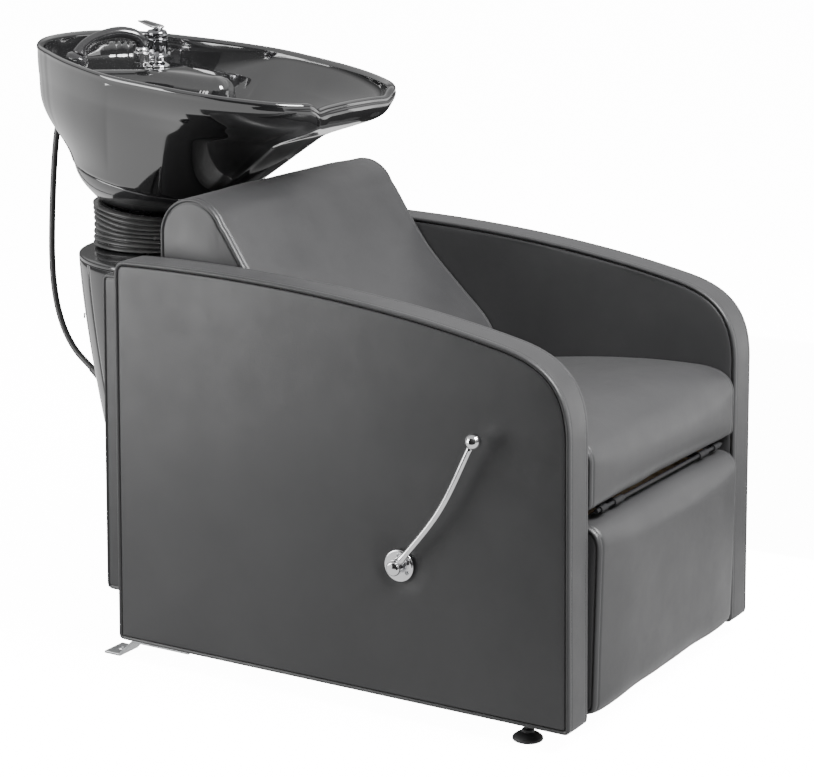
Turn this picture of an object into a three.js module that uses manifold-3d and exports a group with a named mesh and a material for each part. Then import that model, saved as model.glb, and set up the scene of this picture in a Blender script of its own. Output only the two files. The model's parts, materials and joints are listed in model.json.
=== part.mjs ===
// A shampoo backwash unit: an upholstered armchair with a lever-lifted leg rest, and behind it
// a column that carries a tilting ceramic basin with a mixer tap and a hand shower.
// Millimetres, +Z up. The sitter faces -Y, so the sitter's right hand is on the -X side.

import * as THREE from 'three';
import { mergeVertices } from 'three/addons/utils/BufferGeometryUtils.js';
import { ParametricGeometry } from 'three/addons/geometries/ParametricGeometry.js';
import { RoundedBoxGeometry } from 'three/addons/geometries/RoundedBoxGeometry.js';
import Module from 'manifold-3d';

const wasm = await Module();
wasm.setup();

// ---- driving dimensions -------------------------------------------------------------------

const WIDTH = 640;
const ARM_THICK = 62;
const ARM_LENGTH = 768;
const ARM_FRONT_HIGH = 445;
const ARM_CORNER = { y: 108, z: 577 };
const ARM_REAR_HIGH = 628;
// How far the foot of an arm's front stands forward of the edge above it.
const ARM_RAKE = 12;
const ARM_TOP_SOFT = 21;
const ARM_FOOT_SOFT = 12;
const FLOOR_GAP = 30;
const PAD_THICK = 20;
const BAND_THICK = 6;
const GAP = 0.3;
const MATING_GAP = 0.15;

// Front levelling feet and the cranked straps that hold the arms down at the rear.
const FOOT = { y: 68, pad: 22.5, stem: 5, stemTop: 58 };
const BRACKET = { inner: 268, outer: 315, y0: 640, y1: 799, thick: 3, hole: 5.5, holeY: 785, stepY: 745 };

const SEAT_HALF = 256;
const SEAT_BOTTOM = 341;
const SEAT_FRONT = -3;
const SEAT_HIGH = 452;
const SEAT_END = 410;
const BOARD_THICK = 15;
const BOARD_TOP = SEAT_BOTTOM + BOARD_THICK;

const BACK_HALF = 255;
const BACK_SIDE = 12;
const BACK_FOOT = BOARD_TOP + GAP;
const BACK_REAR = 731;
const BACK_ROLL = { y: 673, z: 668, r: 58 };
// The padded face from the seat up to the roll, seen from the side.
const BACK_FACE = [[438, 478], [486, 524], [552, 590], [613, 678]];

// The plywood box inside the backrest, seen from the side.
const BACK_FRAME = [
  [455, BACK_FOOT], [718, BACK_FOOT], [718, 668], [700, 681], [673, 686], [650, 655], [582, 564],
  [514, 496], [455, 436],
];

const REAR_PANEL = { half: 250, y0: 771, y1: 842, z0: 80, z1: 588 };

const RAIL = { high: 338, low: 308, inner: 227, outer: 257, y0: 90, y1: 766, wall: 2 };
const CROSS_TUBES = [90, 600];

const LEG_HALF = 248;
const LEG_FRONT = -22;
const LEG_BACK = 35.7;
const LEG_LOW = 38;
const LEG_HIGH = 325;
const LEG_PIVOT = { y: 4, z: 333 };

const LEG_BOARD = { half: 240, y0: LEG_BACK + GAP, y1: LEG_BACK + GAP + 14, z0: 48, z1: 314 };
const HINGE = {
  r: 3,
  knuckle: 5,
  strap: 2.5,
  leafX: 150,
  leafWide: 30,
  leafLow: 285,
  hangerX: 200,
  hangerWide: 20,
  shaftHalf: 220,
};

const LEVER = { y: 265, z: 236 };
const KNOB = { x: -347, y: 135, z: 444.5, r: 11.7, reach: 0.945 };
const CRANK = { y: 58, z: -30 };

const HORN_PIN = { y: LEG_PIVOT.y + CRANK.y, z: LEG_PIVOT.z + CRANK.z };
const CRANK_PIN = { y: LEVER.y + CRANK.y, z: LEVER.z + CRANK.z };
const SHAFT_R = 8;
const BUSH_R = 12;
const PLATE = { r: 24, thick: 5, screwAt: 16.5, screwR: 3.2, screwHigh: 1.6 };
const PIN_R = 4;
const EYE_R = 5;
// Where the crank, the link and the horn stand side by side across the unit.
const CRANK_X = {
  plate0: -249, plate1: -243, pin1: -230.5, link0: -242, link1: -237, horn0: -234, horn1: -229,
};

const COLUMN_FACE = 843;
const COLUMN_TOP = 585;
const COLUMN_LOW = 90;
const COLUMN_TOP_R = 185;
const COLUMN_LOW_R = 104;
const COLUMN_FLARE = 1.4;
const COLUMN_WALL = 4;
const COVER_ANGLE = THREE.MathUtils.degToRad(30);

const TOP_PLATE = 8;
const COVER_SCREWS = { angle: THREE.MathUtils.degToRad(54), high: 479, head: 4.5, thick: 2.5 };
const MAST = { half: 40, y0: 908, y1: 948, z0: 270, bracketLow: 285, bracketHigh: 500, bracketTall: 40 };

const NECK_Y = 934;
const BELLOWS = { r: 89, valley: 82, wall: 2.5, folds: 5, z0: COLUMN_TOP + GAP, z1: 652, lean: 7 };
const TILT = { y: NECK_Y, z: 622, pin: 5, earX: 31, armX: 24, thick: 5, foot: 46, pinHalf: 40 };

const TILT_PLATE = { z0: 660, z1: 666 };

const RIM = { front: 545, z: 859, slope: 0.115 };
// Half of the rim seen from above, from the back round to the front lip.
const HALF_RIM = [
  [0, 1093], [72, 1083], [138, 1044], [176, 990], [212, 920], [238, 835], [236, 765], [222, 680],
  [194, 612], [160, 566], [118, 543], [60, 549],
];
const RIM_CENTRE = new THREE.Vector2(0, 830);
const RIM_STEPS = 720;
const BASIN_SIDES = 44;
const SKIRT = { y: 908, z: 709, r: 142, lean: 12 };
// How far the wall swells out between the skirt and the rim, at the sides, and more or less at either end.
const SWELL = { side: 7, rear: 20, front: 15 };
const BASIN_WALL = 11;
const DECK_TIP = 772;
const WALL_LEVELS = [0.2, 0.4, 0.6, 0.78, 0.92];
const BOWL_MIDDLE = 765;
const BOTTOM_LEVELS = [0.7, 0.85, 0.95];
const BOWL_LEVELS = [0, 0.3, 0.6, 0.85];
const BOWL_FLOOR = 758;
const DRAIN = { y: 742, r: 22, depth: 22, elbowR: 12, hoseY: 880, hoseHole: 18 };
// Half of the pair of supply hoses, from the tap's tail down through the neck and the column.
const SUPPLY = {
  x: 22,
  y: 980,
  r: 6,
  route: [
    [6.5, 912, 838], [9, 920, 818], [14, 945, 780], [20, 972, 720], [22, 980, 660], [22, 980, 560],
    [22, 974, 400], [22, 962, 285], [24, 925, 200], [24, 900, 130], [24, 898, 98],
  ],
};
const DECK_TOP = 878;
const TAP_Y = 912;
const TAP_TAIL = 850;
const TAP = { stem: 13, ring: 20, body: 17.5, bodyLow: 894, bodyHigh: 925, capHigh: 938 };
const TAP_LEVER = {
  rear: 13, tip: 56, wide: 13, narrow: 8, thick: 5, rise: 0.08, heading: THREE.MathUtils.degToRad(62),
};
const HOLDER = { x: -58, y: 900, r: 12, bore: 8.6, top: 908 };
// The hand shower arches from its holder down to its head. Its x and y are measured from the holder.
const HANDSET = {
  route: [[0, 0, 914], [-1, 1, 924], [-8, 6, 933], [-26, 21, 939], [-50, 41, 934], [-65, 54, 925]],
  head: new THREE.Vector3(-79, 67, 898),
  aim: new THREE.Vector3(-0.35, 0.3, -0.89),
  r: 9,
  headR: 19,
  headBack: 8,
  headFront: 10,
  collarR: 10.5,
};

const HOSE_R = 5.25;
const GLAND_R = 9;
// How far the hose's holes in the basin and the column reach either side of its glands.
const GLAND_BORE = 46;
const HOSE_OUT = new THREE.Vector3(-45, 1063, 815);
const HOSE_OUT_AIM = new THREE.Vector3(0, 0.45, -0.89);
const HOSE_IN = new THREE.Vector3(-45, 987, 352);
const HOSE_IN_AIM = new THREE.Vector3(0, 0.8, 0.6);
// The hanging shower hose, from the basin's gland round to the column's gland.
const HOSE_ROUTE = [
  [-45, 1065.9, 809.3], [-45, 1070, 801.2], [-45, 1076, 786], [-45, 1082, 761], [-45, 1088, 715],
  [-45, 1092.5, 660], [-45, 1095.5, 605], [-45, 1096.5, 555], [-45, 1094, 510], [-45, 1086, 468],
  [-45, 1071, 430], [-45, 1050, 401], [-45, 1029, 383.6], [-45, 1014.4, 372.6], [-45, 1005, 365.5],
];

// The footprint's centre, which the unit stands on at the origin.
const FOOTPRINT_CENTRE = new THREE.Vector3(-19.35, 538.79, 0);

// ---- materials ----------------------------------------------------------------------------

const finish = (color, roughness, metalness) => () =>
  new THREE.MeshStandardMaterial({ color, roughness, metalness });

const upholstery = finish(0x3b3b3c, 0.5, 0);
const plywood = finish(0xb08a5b, 0.7, 0);
const chrome = finish(0xe6e6e8, 0.1, 1);
const steel = finish(0x9a9da0, 0.4, 0.9);
const blackSteel = finish(0x1b1b1c, 0.45, 0.3);
const glaze = finish(0x0b0b0c, 0.08, 0);
const glossPlastic = finish(0x17181a, 0.22, 0);
const mattePlastic = finish(0x18181a, 0.6, 0);
const rubber = finish(0x141415, 0.7, 0);
const brass = finish(0xb5943f, 0.35, 0.9);

// ---- shared geometry helpers --------------------------------------------------------------

const unit = new THREE.Group();

function add(name, geometry, makeMaterial) {
  const mesh = new THREE.Mesh(geometry, makeMaterial());
  mesh.name = name;
  unit.add(mesh);
  return mesh;
}

/** A shape from [across, up] pairs. */
const polygon = (points) => new THREE.Shape(points.map(([a, b]) => new THREE.Vector2(a, b)));

function circle(x, y, radius, segments = 20) {
  const points = [];
  for (let i = 0; i < segments; i += 1) {
    const angle = (i / segments) * 2 * Math.PI;
    points.push([x + radius * Math.cos(angle), y + radius * Math.sin(angle)]);
  }
  return polygon(points);
}

/** A shape with round ends about two points, such as a link or a crank. */
function stadium([ax, ay], [bx, by], radius, segments = 8) {
  const heading = Math.atan2(by - ay, bx - ax);
  const points = [];
  for (const [x, y, start] of [[bx, by, heading - Math.PI / 2], [ax, ay, heading + Math.PI / 2]]) {
    for (let i = 0; i <= segments; i += 1) {
      const angle = start + (i / segments) * Math.PI;
      points.push([x + radius * Math.cos(angle), y + radius * Math.sin(angle)]);
    }
  }
  return polygon(points);
}

/** Extrudes a shape along its own Z from 0 to depth, with an optional rounded edge inside the outline. */
function extrude(shape, depth, round = 0, curveSegments = 6) {
  const geometry = new THREE.ExtrudeGeometry(shape, {
    depth: depth - 2 * round,
    curveSegments,
    bevelEnabled: round > 0,
    bevelThickness: round,
    bevelSize: round,
    bevelOffset: -round,
    bevelSegments: 2,
  });
  return geometry.translate(0, 0, round);
}

const Y_Z_PLANE = new THREE.Matrix4().makeBasis(
  new THREE.Vector3(0, 1, 0), new THREE.Vector3(0, 0, 1), new THREE.Vector3(1, 0, 0));

/** A (y, z) shape extruded along X from x0 to x1. */
const alongX = (shape, x0, x1, round = 0) =>
  extrude(shape, x1 - x0, round).applyMatrix4(Y_Z_PLANE).translate(x0, 0, 0);

/** An (x, y) shape extruded up from z0 to z1. */
const alongZ = (shape, z0, z1, round = 0) => extrude(shape, z1 - z0, round).translate(0, 0, z0);

/** A cylinder along X. */
const barX = (x0, x1, y, z, radius, segments = 20) => alongX(circle(y, z, radius, segments), x0, x1);

/** A cylinder along Z. */
const barZ = (x, y, z0, z1, radius, segments = 20) => alongZ(circle(x, y, radius, segments), z0, z1);

/** A box from its lowest and highest corners. */
function box(x0, x1, y0, y1, z0, z1) {
  const geometry = new THREE.BoxGeometry(x1 - x0, y1 - y0, z1 - z0);
  return geometry.translate((x0 + x1) / 2, (y0 + y1) / 2, (z0 + z1) / 2);
}

function roundedBox(x0, x1, y0, y1, z0, z1, radius, segments = 3) {
  const geometry = new RoundedBoxGeometry(x1 - x0, y1 - y0, z1 - z0, segments, radius);
  return geometry.translate((x0 + x1) / 2, (y0 + y1) / 2, (z0 + z1) / 2);
}

/** Turned about a vertical axis at (x, y), from [radius, z] pairs that start and end on the axis or close. */
function turned(profile, x, y, segments = 24) {
  const points = profile.map(([radius, z]) => new THREE.Vector2(radius, z));
  return new THREE.LatheGeometry(points, segments).rotateX(Math.PI / 2).translate(x, y, 0);
}

/** A round tube along a smooth curve through the points. */
function tube(points, radius, steps, sides = 10) {
  const places = points.map((p) => new THREE.Vector3(...p));
  const extrudePath = new THREE.CatmullRomCurve3(places, false, 'centripetal');
  return new THREE.ExtrudeGeometry(circle(0, 0, radius, sides), { steps, extrudePath, bevelEnabled: false });
}

/** A cylinder along any direction, between two distances from a point. */
function rod(point, direction, from, to, radius, segments = 20) {
  const up = new THREE.Vector3(0, 0, 1);
  const turn = new THREE.Quaternion().setFromUnitVectors(up, direction.clone().normalize());
  const upright = alongZ(circle(0, 0, radius, segments), from, to);
  return upright.applyQuaternion(turn).translate(point.x, point.y, point.z);
}

/** The points of a closed outline, moved inwards by a distance. */
function inset(points, distance) {
  const count = points.length;
  const area = THREE.ShapeUtils.area(points);
  const side = Math.sign(area) * distance;
  return points.map((point, i) => {
    const before = point.clone().sub(points[(i + count - 1) % count]).normalize();
    const after = points[(i + 1) % count].clone().sub(point).normalize();
    const bisector = new THREE.Vector2(-before.y - after.y, before.x + after.x).normalize();
    const spread = Math.max(bisector.dot(new THREE.Vector2(-before.y, before.x)), 0.3);
    return point.clone().addScaledVector(bisector, side / spread);
  });
}

/** A closed surface through rings from the lowest to the highest, closed by a point at each end. */
function loft(rings, sides) {
  const surface = new ParametricGeometry((u, v, target) => {
    const place = v * (rings.length + 1);
    const level = Math.round(place);
    const angle = u === 1 ? 0 : u * 2 * Math.PI;
    if (level === 0) target.copy(middle(rings[0], sides));
    else if (level === rings.length + 1) target.copy(middle(rings[rings.length - 1], sides));
    else target.copy(rings[level - 1](angle));
  }, sides, rings.length + 1);
  return surface;
}

function middle(ring, sides) {
  const sum = new THREE.Vector3();
  for (let i = 0; i < sides; i += 1) sum.add(ring((i / sides) * 2 * Math.PI));
  return sum.divideScalar(sides);
}

// ---- booleans -----------------------------------------------------------------------------

function solid(geometry) {
  const bare = geometry.clone();
  bare.deleteAttribute('normal');
  bare.deleteAttribute('uv');
  const merged = mergeVertices(bare, 1e-3);
  const corners = merged.index.array;
  const kept = [];
  for (let i = 0; i < corners.length; i += 3) {
    const [a, b, c] = [corners[i], corners[i + 1], corners[i + 2]];
    if (a !== b && b !== c && c !== a) kept.push(a, b, c);
  }
  return new wasm.Manifold(new wasm.Mesh({
    numProp: 3,
    vertProperties: new Float32Array(merged.attributes.position.array),
    triVerts: new Uint32Array(kept),
  }));
}

function toGeometry(manifold) {
  const mesh = manifold.getMesh();
  const geometry = new THREE.BufferGeometry();
  geometry.setAttribute('position', new THREE.BufferAttribute(mesh.vertProperties, 3));
  geometry.setIndex(new THREE.BufferAttribute(mesh.triVerts, 1));
  return geometry;
}

const cut = (geometry, ...tools) =>
  toGeometry(tools.reduce((body, tool) => body.subtract(solid(tool)), solid(geometry)));

const join = (geometry, ...others) =>
  toGeometry(others.reduce((body, other) => body.add(solid(other)), solid(geometry)));

// ---- arms ---------------------------------------------------------------------------------

/** The side view of an arm: a slightly raked front, a wide front corner and a shallow crown to the rear. */
function armOutline() {
  const low = FLOOR_GAP;
  const foot = -ARM_RAKE;
  const { y, z } = ARM_CORNER;
  const outline = new THREE.Shape();
  outline.moveTo(foot, low + ARM_FOOT_SOFT);
  outline.lineTo(0, ARM_FRONT_HIGH);
  outline.bezierCurveTo(0, ARM_FRONT_HIGH + 85, 40, z - 15, y, z);
  outline.bezierCurveTo(y + 200, z + 44, 540, ARM_REAR_HIGH + 5, ARM_LENGTH - ARM_TOP_SOFT, ARM_REAR_HIGH);
  outline.quadraticCurveTo(ARM_LENGTH, ARM_REAR_HIGH, ARM_LENGTH, ARM_REAR_HIGH - ARM_TOP_SOFT);
  outline.lineTo(ARM_LENGTH, low + ARM_FOOT_SOFT);
  outline.quadraticCurveTo(ARM_LENGTH, low, ARM_LENGTH - ARM_FOOT_SOFT, low);
  outline.lineTo(foot + ARM_FOOT_SOFT, low);
  outline.quadraticCurveTo(foot, low, foot, low + ARM_FOOT_SOFT);
  return outline;
}

/** The two x values, lowest first, of a slab whose faces are near and far from the mid-plane. */
const onSide = (side, near, far) => (side < 0 ? [-far, -near] : [near, far]);

function makeArm(name, side, passage) {
  const outer = WIDTH / 2;
  const inner = outer - ARM_THICK;
  const points = armOutline().getPoints(7).slice(0, -1);
  const inside = inset(points, BAND_THICK);
  const middleX = side * (inner + outer) / 2;
  const footHole = barZ(middleX, FOOT.y, FLOOR_GAP - 5, FOOT.stemTop + 15, FOOT.stem + 1.5);

  const band = new THREE.Shape(points);
  band.holes.push(new THREE.Path(inside.reverse()));
  add(`${name}_edge_band`, cut(alongX(band, ...onSide(side, inner, outer)), footHole), upholstery);

  const fill = new THREE.Shape(inset(points, BAND_THICK + GAP));
  const pad = (near, far) => {
    const slab = alongX(fill, ...onSide(side, near, far), 2);
    return passage ? cut(slab, barX(-outer - 5, -inner + 5, LEVER.y, LEVER.z, passage)) : slab;
  };
  add(`${name}_outer_pad`, pad(outer - PAD_THICK, outer), upholstery);
  add(`${name}_inner_pad`, pad(inner, inner + PAD_THICK), upholstery);

  const core = alongX(fill, ...onSide(side, inner + PAD_THICK + GAP, outer - PAD_THICK - GAP));
  const bushHole = barX(-outer - 5, -inner + 5, LEVER.y, LEVER.z, BUSH_R + GAP);
  add(`${name}_core_panel`, passage ? cut(core, footHole, bushHole) : cut(core, footHole), plywood);
}

// ---- feet and floor brackets --------------------------------------------------------------

function makeFoot(name, side) {
  const x = side * (WIDTH - ARM_THICK) / 2;
  const { pad, stem, stemTop } = FOOT;
  add(`${name}_levelling_foot`, turned(
    [[0, 0], [pad, 0], [pad, 4], [pad - 5, 9], [9, 12], [stem, 12], [stem, stemTop], [0, stemTop]],
    x, FOOT.y, 20), mattePlastic);
}

/** A cranked steel strap: a flange under the arm, a 45 degree step down, and a drilled tab on the floor. */
function makeFloorBracket(name, side) {
  const { inner, outer, y0, y1, thick, hole, holeY, stepY } = BRACKET;
  const high = FLOOR_GAP - GAP;
  const low = thick + 1;
  const run = high - low;
  const lean = thick * 0.4;
  const strap = polygon([
    [y0, high - thick], [stepY - lean, high - thick], [stepY + run - lean, 0], [y1, 0],
    [y1, low], [stepY + run + lean, low], [stepY + lean, high], [y0, high],
  ]);
  const tabHole = barZ(side * (inner + outer) / 2, holeY, -5, 15, hole);
  add(`${name}_floor_bracket`, cut(alongX(strap, ...onSide(side, inner, outer)), tabHole), steel);
}

// ---- seat ---------------------------------------------------------------------------------

function makeSeat() {
  const nose = 24;
  const cushion = new THREE.Shape();
  cushion.moveTo(SEAT_FRONT + 5, SEAT_BOTTOM);
  cushion.quadraticCurveTo(SEAT_FRONT, SEAT_BOTTOM, SEAT_FRONT, SEAT_BOTTOM + 6);
  cushion.lineTo(SEAT_FRONT + 2, SEAT_HIGH - nose);
  cushion.quadraticCurveTo(SEAT_FRONT + 3, SEAT_HIGH, SEAT_FRONT + 10 + nose, SEAT_HIGH + 2);
  cushion.quadraticCurveTo(SEAT_END * 0.5, SEAT_HIGH + 2, SEAT_END, SEAT_HIGH - 24);
  cushion.lineTo(SEAT_END, BOARD_TOP + GAP);
  cushion.lineTo(12 - GAP, BOARD_TOP + GAP);
  cushion.lineTo(12 - GAP, SEAT_BOTTOM);
  add('seat_cushion', alongX(cushion, -SEAT_HALF, SEAT_HALF), upholstery);
  add('seat_board', box(-SEAT_HALF + 2, SEAT_HALF - 2, 12, 737, SEAT_BOTTOM, BOARD_TOP), plywood);
}

// ---- backrest -----------------------------------------------------------------------------

function backrestOutline() {
  const { y, z, r } = BACK_ROLL;
  const outline = new THREE.Shape();
  outline.moveTo(SEAT_END + GAP + 1, BACK_FOOT);
  outline.lineTo(SEAT_END + GAP + 1, 436);
  outline.splineThru(BACK_FACE.map(([a, b]) => new THREE.Vector2(a, b)));
  outline.absarc(y, z, r, THREE.MathUtils.degToRad(165), 0, true);
  outline.lineTo(BACK_REAR, BACK_FOOT);
  return outline;
}

function makeBackrest() {
  const inner = BACK_HALF - BACK_SIDE - GAP;
  const frame = polygon(BACK_FRAME);
  const hollow = inset(frame.getPoints(), BOARD_THICK);
  const filling = alongX(backrestOutline(), -inner, inner);
  const framePoints = inset(frame.getPoints(), -GAP);
  const room = alongX(new THREE.Shape(framePoints), -BACK_HALF, BACK_HALF);
  const below = box(-BACK_HALF, BACK_HALF, 455 - GAP, 718 + GAP, BACK_FOOT - 5, BACK_FOOT + 1);
  add('backrest_cushion', cut(filling, room, below), upholstery);
  frame.holes.push(new THREE.Path(hollow));
  add('backrest_frame', alongX(frame, -inner, inner), plywood);
  for (const [name, side] of [['right', -1], ['left', 1]]) {
    const panel = alongX(backrestOutline(), ...onSide(side, inner + GAP, BACK_HALF), 3);
    add(`backrest_${name}_side`, panel, upholstery);
  }
}

// ---- rear panel and seat frame ------------------------------------------------------------

function makeRearPanel() {
  const { half, y0, y1, z0, z1 } = REAR_PANEL;
  const board = { half: half - 14, y0, y1: y0 + 50, z0: z0 + 14, z1: z1 - 14 };
  const cover = roundedBox(-half, half, y0 - 12, y1, z0, z1, 11);
  const front = box(-half - 5, half + 5, y0 - 20, y0, z0 - 5, z1 + 5);
  const reach = board.half + GAP;
  const room = box(-reach, reach, y0 - 20, board.y1 + GAP, board.z0 - GAP, board.z1 + GAP);
  add('rear_panel_cover', cut(cover, front, room), upholstery);
  add('rear_panel_board', box(-board.half, board.half, y0, board.y1, board.z0, board.z1), plywood);
}

/** The welded frame under the seat: two rails, two cross tubes and the hangers of the leg rest's hinge. */
function makeSeatFrame() {
  const { high, low, inner, outer, y0, y1, wall } = RAIL;
  const size = high - low;
  const open = 5;
  const pieces = [];
  const bores = [barX(-outer, outer, LEG_PIVOT.y, LEG_PIVOT.z, HINGE.r + GAP, 16)];
  for (const side of [-1, 1]) {
    const [x0, x1] = onSide(side, inner, outer);
    pieces.push(box(x0, x1, y0, y1, low, high), hingeHanger(side));
    bores.push(box(x0 + wall, x1 - wall, y0 - open, y1 + open, low + wall, high - wall));
  }
  for (const start of CROSS_TUBES) {
    pieces.push(box(-inner - wall / 2, inner + wall / 2, start, start + size, low, high));
    bores.push(box(-inner - open, inner + open, start + wall, start + size - wall, low + wall, high - wall));
  }
  add('seat_frame', cut(join(...pieces), ...bores), blackSteel);
}

// ---- leg rest -----------------------------------------------------------------------------

function makeLegRest() {
  const cushion = roundedBox(-LEG_HALF, LEG_HALF, LEG_FRONT, LEG_BACK, LEG_LOW, LEG_HIGH, 20);
  add('leg_rest_cushion', cushion, upholstery);
  const { half, y0, y1, z0, z1 } = LEG_BOARD;
  add('leg_rest_board', box(-half, half, y0, y1, z0, z1), plywood);
}

/** A knuckle on the hinge shaft with a strap back over the pad and down behind its board. */
function hingeLeaf(side) {
  const x0 = side * HINGE.leafX - HINGE.leafWide / 2;
  const x1 = x0 + HINGE.leafWide;
  const { y, z } = LEG_PIVOT;
  const back = LEG_BOARD.y1 + GAP;
  const low = z - HINGE.knuckle;
  const thick = HINGE.strap;
  const strap = polygon([
    [y, low], [back, low], [back, HINGE.leafLow], [back + thick, HINGE.leafLow], [back + thick, low + thick],
    [y, low + thick],
  ]);
  return join(barX(x0, x1, y, z, HINGE.knuckle), alongX(strap, x0, x1));
}

/** A knuckle round the hinge shaft with a strap back to the front cross tube. */
function hingeHanger(side) {
  const x0 = side * HINGE.hangerX - HINGE.hangerWide / 2;
  const x1 = x0 + HINGE.hangerWide;
  const { y, z } = LEG_PIVOT;
  const back = CROSS_TUBES[0];
  const high = RAIL.high;
  const thick = HINGE.strap;
  const strap = polygon([
    [y, high - thick], [back - thick, high - thick], [back - thick, RAIL.low + 4], [back + 1, RAIL.low + 4],
    [back + 1, high], [y, high],
  ]);
  return join(barX(x0, x1, y, z, HINGE.knuckle), alongX(strap, x0, x1));
}

function makeLegRestHinge() {
  const shaft = barX(-HINGE.shaftHalf, HINGE.shaftHalf, LEG_PIVOT.y, LEG_PIVOT.z, HINGE.r, 16);
  add('leg_rest_hinge', join(shaft, hingeLeaf(-1), hingeLeaf(1)), blackSteel);
}

// ---- lever and linkage --------------------------------------------------------------------

/** The round plate on the arm, with its three screws, and the bush inside the arm. */
function makeLeverMount() {
  const face = -WIDTH / 2;
  const { thick, screwAt, screwR, screwHigh } = PLATE;
  const screws = [];
  for (let i = 0; i < 3; i += 1) {
    const angle = Math.PI / 2 + (i * 2 * Math.PI) / 3;
    const y = LEVER.y + screwAt * Math.cos(angle);
    const z = LEVER.z + screwAt * Math.sin(angle);
    screws.push(barX(face - thick - screwHigh, face - thick + 1, y, z, screwR, 14));
  }
  const disc = join(barX(face - thick, face - GAP, LEVER.y, LEVER.z, PLATE.r, 32), ...screws);
  add('lever_plate', cut(disc, barX(face - 15, face + 5, LEVER.y, LEVER.z, SHAFT_R + GAP, 24)), chrome);

  const far = face + PAD_THICK + GAP;
  const near = face + ARM_THICK - PAD_THICK - GAP;
  const bush = barX(far, near, LEVER.y, LEVER.z, BUSH_R, 24);
  add('lever_bush', cut(bush, barX(far - 5, near + 5, LEVER.y, LEVER.z, SHAFT_R + GAP, 24)), brass);
}

function makeLever() {
  const face = -WIDTH / 2;
  const hub = { x0: face - 24, x1: face - 8, r: 11.5 };
  add('lever_shaft', barX(hub.x1 + GAP, CRANK_X.plate1, LEVER.y, LEVER.z, SHAFT_R, 24), steel);

  const start = new THREE.Vector3((hub.x0 + hub.x1) / 2, LEVER.y, LEVER.z);
  const end = new THREE.Vector3(KNOB.x, KNOB.y, KNOB.z);
  const bow = new THREE.Vector3(0, -10, -6.5);
  const half = start.clone().lerp(end, 0.5).add(bow);
  const path = new THREE.CatmullRomCurve3([start, half, end]);
  const points = [];
  for (let i = 0; i <= 6; i += 1) {
    points.push(path.getPointAt((i / 6) * KNOB.reach).toArray());
  }
  const bar = join(tube(points, 4.5, 12), barX(hub.x0, hub.x1, LEVER.y, LEVER.z, hub.r, 24));
  add('lever_bar', bar, chrome);
  add('lever_knob', new THREE.SphereGeometry(KNOB.r, 20, 12).translate(KNOB.x, KNOB.y, KNOB.z), chrome);
}

function makeLinkage() {
  const crank = stadium([LEVER.y, LEVER.z], [CRANK_PIN.y, CRANK_PIN.z], 14);
  const { plate0, plate1, pin1, link0, link1, horn0, horn1 } = CRANK_X;
  const crankPlate = alongX(crank, plate0, plate1);
  const shaftHole = barX(plate0 - 5, plate1 + 5, LEVER.y, LEVER.z, SHAFT_R + MATING_GAP, 24);
  const pin = barX(plate1 - 1, pin1 - 4, CRANK_PIN.y, CRANK_PIN.z, PIN_R);
  add('lever_crank', join(cut(crankPlate, shaftHole), pin), blackSteel);

  const strap = alongX(stadium([HORN_PIN.y, HORN_PIN.z], [CRANK_PIN.y, CRANK_PIN.z], 9), link0, link1);
  const eyes = [HORN_PIN, CRANK_PIN].map(({ y, z }) => barX(link0 - 5, link1 + 5, y, z, EYE_R));
  add('leg_rest_link', cut(strap, ...eyes), blackSteel);

  const back = LEG_BOARD.y1 + GAP;
  const horn = polygon([
    [back, 285], [back, 318], [HORN_PIN.y + 7, HORN_PIN.z + 8], [HORN_PIN.y + 10, HORN_PIN.z],
    [HORN_PIN.y + 7, HORN_PIN.z - 8],
  ]);
  const foot = box(horn0 - GAP, -205, back, back + 3, 270, 318);
  const hornPin = barX(link0 - 1, horn0 + 1, HORN_PIN.y, HORN_PIN.z, PIN_R);
  add('leg_rest_horn', join(alongX(horn, horn0, horn1), foot, hornPin), blackSteel);
}

// ---- column -------------------------------------------------------------------------------

/** Part of the column's plan: an arc about the middle of its flat face. */
function arc(radius, from, to, steps) {
  const points = [];
  for (let i = 0; i <= steps; i += 1) {
    const angle = from + (i / steps) * (to - from);
    points.push([radius * Math.cos(angle), radius * Math.sin(angle)]);
  }
  return points;
}

function columnRadius(z) {
  const height = Math.min((z - COLUMN_LOW) / (COLUMN_TOP - COLUMN_LOW), 1);
  return COLUMN_LOW_R + (COLUMN_TOP_R - COLUMN_LOW_R) * (1 - (1 - height) ** COLUMN_FLARE);
}

/** Narrows a piece drawn at the column's top radius towards the floor. */
function taper(geometry) {
  const position = geometry.attributes.position;
  for (let i = 0; i < position.count; i += 1) {
    const scale = columnRadius(position.getZ(i)) / COLUMN_TOP_R;
    position.setX(i, position.getX(i) * scale);
    position.setY(i, position.getY(i) * scale);
  }
  return geometry;
}

function columnPiece(points, steps, top) {
  const depth = top - COLUMN_LOW;
  const geometry = new THREE.ExtrudeGeometry(polygon(points), { depth, steps, bevelEnabled: false });
  return taper(geometry.translate(0, 0, COLUMN_LOW)).translate(0, COLUMN_FACE, 0);
}

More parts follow.
